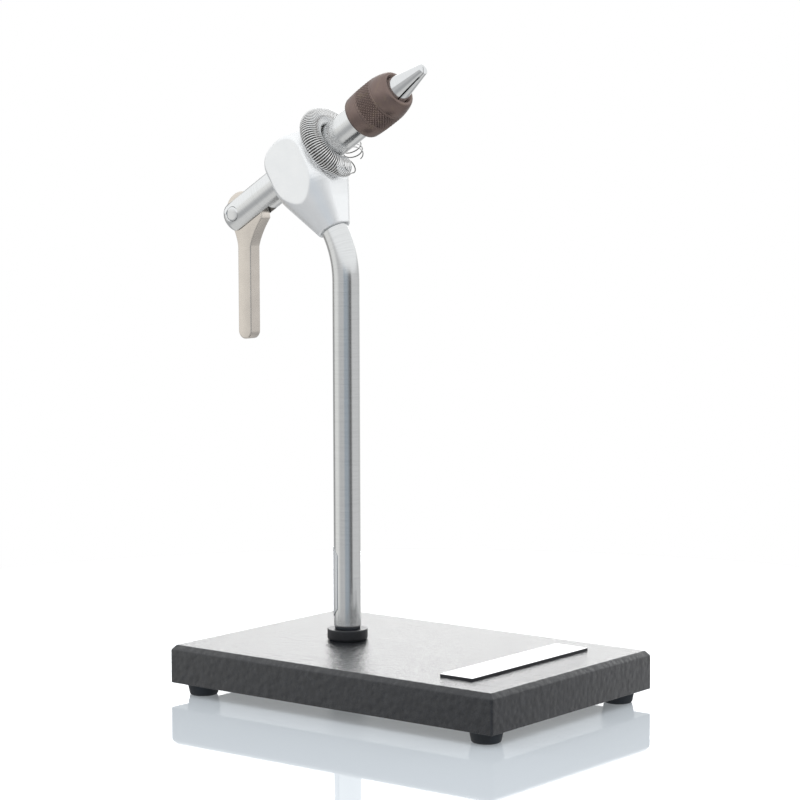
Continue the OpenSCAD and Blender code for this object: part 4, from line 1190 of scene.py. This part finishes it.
# %% Coil of the material spring
WIRE_R = 0.28 * MM
COIL_R = 4.68 * MM
COILS, COIL_STEPS = 70, 24
LOOSE_CURLS, LOOSE_PITCH = 4, 2.4
COIL_FROM, COIL_TO = 240, 360 + 184
SPRING_GAP, SPRING_R = 0.3 * MM, 5 * MM
spring_point = pin_point + (HEAD_S + face_at + SPRING_GAP + SPRING_R) * tube_axis
spring_ring_r = tube_r + SPRING_GAP + SPRING_R

def ring_frame(degrees):
    """Point, outward direction and running direction on the ring's middle line."""
    a = np.radians(np.asarray(degrees, float))[..., None]
    outward = np.cos(a) * tube_up - np.sin(a) * Y_AXIS
    running = -np.sin(a) * tube_up - np.cos(a) * Y_AXIS
    return spring_point + spring_ring_r * outward, outward, running

turns = np.linspace(0, COILS, COILS * COIL_STEPS + 1)
pitch = np.where(turns < LOOSE_CURLS, LOOSE_PITCH, 1)
share = (np.cumsum(pitch) - pitch[0]) / (np.sum(pitch) - pitch[0])
centre, out, running = ring_frame(COIL_FROM + (COIL_TO - COIL_FROM) * share)
curl = np.radians(360 * turns)[:, None]
coil_out = np.cos(curl) * out + np.sin(curl) * tube_axis
coil = centre + COIL_R * coil_out
print("coil has", COILS, "curls and", len(coil), "points")

# %% [markdown]
# At its end the wire leads into a loop that hooks the ring shut. A cubic curve, (1-t)^3 a + 3t(1-t)^2 b +
# 3t^2(1-t) c + t^3 d, goes from the last curl to the loop: b and c are pulled along the two directions in
# which the wire leaves and arrives.

# %% Loop of the material spring
LOOP_R, LOOP_PULL = 3.7 * MM, 1.8 * MM
LOOP_TURN, LOOP_POINTS, BRIDGE_POINTS = 310, 60, 14
hub = centre[-1] + LOOP_R * running[-1]
phi = np.radians(np.linspace(0, LOOP_TURN, LOOP_POINTS))
loop_out = directions(phi, out[-1], running[-1])
loop = hub + LOOP_R * loop_out
t = np.linspace(0, 1, BRIDGE_POINTS)[1:-1, None]
leave, arrive = coil[-1] + LOOP_PULL * tube_axis, loop[0] - LOOP_PULL * running[-1]
bridge = ((1 - t) ** 3 * coil[-1] + 3 * t * (1 - t) ** 2 * leave + 3 * t ** 2 * (1 - t) * arrive
          + t ** 3 * loop[0])
track = np.concatenate([coil, bridge, loop])
outward = np.concatenate([coil_out, np.repeat(out[-1:], len(t), 0), loop_out])
print("wire is", round(np.linalg.norm(np.diff(track, axis=0), axis=1).sum(), 2), "m long")

# %% [markdown]
# The wire is a small ring of points carried along that track. Every point of the track also has an
# outward direction, so the ring never twists.

# %% Wire
WIRE_SIDES = 8
WIRE_SHARP = 60

def wire(track, outward, radius, sides=WIRE_SIDES):
    """Rings of a wire round a track: cos * outward + sin * side, both square to the track."""
    ahead = np.gradient(track, axis=0)
    ahead /= np.linalg.norm(ahead, axis=1)[:, None]
    side = np.cross(ahead, outward)
    side /= np.linalg.norm(side, axis=1)[:, None]
    up = np.cross(side, ahead)
    angle = full_turn(sides)[None, :, None]
    grid = track[:, None] + radius * (np.cos(angle) * up[:, None] + np.sin(angle) * side[:, None])
    return closed_grid(pointed(grid, track[0], track[-1]))

spring = mesh_object("wound_spring", [wire(track, outward, WIRE_R)], sharp=WIRE_SHARP)
print("wire has", len(spring.data.vertices), "points")

# %% [markdown]
# Spring wire is drawn bright. The side that faces into the coil gets a darker colour, which is painted
# shade: a stored number from -1 to 1 tells the two sides apart.

# %% Spring wire
# Painted shade: a darker colour for the side of the wire that faces into the coil.
INNER_SIDE_SHADE = (0.20, 0.20, 0.19)
INNER_SHADE_EDGE = 0.3

def side_of_wire(points):
    """-1 on the side of the wire that faces into the coil, 1 on the side that faces out of it."""
    away = points - spring_point
    along = away @ tube_axis
    beside = np.linalg.norm(away - along[:, None] * tube_axis, axis=1) - spring_ring_r
    return (np.hypot(along, beside) - COIL_R) / WIRE_R

spring_steel, tree, shader, _ = principled("spring_steel", Base_Color=(0.80, 0.80, 0.80, 1), Metallic=1.0,
                                           Roughness=0.16)
store_flow(spring, np.column_stack([side_of_wire(vertices_of(spring))] * 3))
outside = spread(tree, stored(tree), -INNER_SHADE_EDGE, INNER_SHADE_EDGE, 0, 1)
drawn = noise(tree, object_place(tree), 1200.0, 2.0)
bright = tint(tree, drawn, [(0.3, (0.88, 0.88, 0.88)), (0.7, (0.95, 0.95, 0.95))])
feed(tree, shader, Base_Color=mixed(tree, outside, INNER_SIDE_SHADE, bright),
     Roughness=spread(tree, drawn, 0.3, 0.7, 0.12, 0.24))
settle(spring, "rotor", ["material_spring"], spring_steel)

# %% [markdown]
# Some pieces of the model already have their real shape: screws, stud, nut, follower and rod. They stay
# as they are and only get their finish.

# %% Finishes for the pieces that stay
plain_steel = brushed("plain_steel", (0.62, 0.63, 0.64), 0.28, (700, 700, 700))
KEPT = {black_steel: ["foot_screws", "stud_washer", "stud_nut", "tension_screw", "post_set_screw"],
        plain_steel: ["post_stud", "cam_follower", "push_rod"], nylon: ["tension_plug"],
        spring_steel: ["return_spring"]}
for material, names in KEPT.items():
    for name in names:
        slots = frame["nodes"][name].data.materials
        slots.clear()
        slots.append(material)
print("finished", sum(len(names) for names in KEPT.values()), "pieces of the model")

# %% [markdown]
# The floor is a pale glossy board. Away from the vise it should melt into the white backdrop, so camera
# rays get a little light from it, while the vise's soft shadow and reflection still darken it. Polished
# metal sees the studio below eye level in place of the board.

# %% Floor
FLOOR_R = 0.45
FLOOR_SIDES = 128
FLOOR_GLOW = 0.16
floor_material, tree, shader, output = principled("floor", Base_Color=(0.67, 0.73, 0.79, 1), Roughness=0.04,
                                                  IOR=1.9)
glow = node(tree, "ShaderNodeEmission", {"Color": (0.93, 0.98, 1.0, 1)})
seen = combine(tree, "MULTIPLY", node(tree, "ShaderNodeLightPath").outputs["Is Camera Ray"], FLOOR_GLOW)
tree.links.new(seen, glow.inputs["Strength"])
both = node(tree, "ShaderNodeAddShader", {0: shader.outputs[0], 1: glow.outputs[0]})
tree.links.new(both.outputs[0], output.inputs["Surface"])
disc = FLOOR_R * directions(full_turn(FLOOR_SIDES), X_AXIS, Y_AXIS)
floor = mesh_object("floor", [(disc, [list(range(FLOOR_SIDES))])])
if floor.data.polygons[0].normal.z < 0:
    floor.data.flip_normals()
floor.data.materials.append(floor_material)
floor.visible_glossy = False
print("floor radius", FLOOR_R, "m")
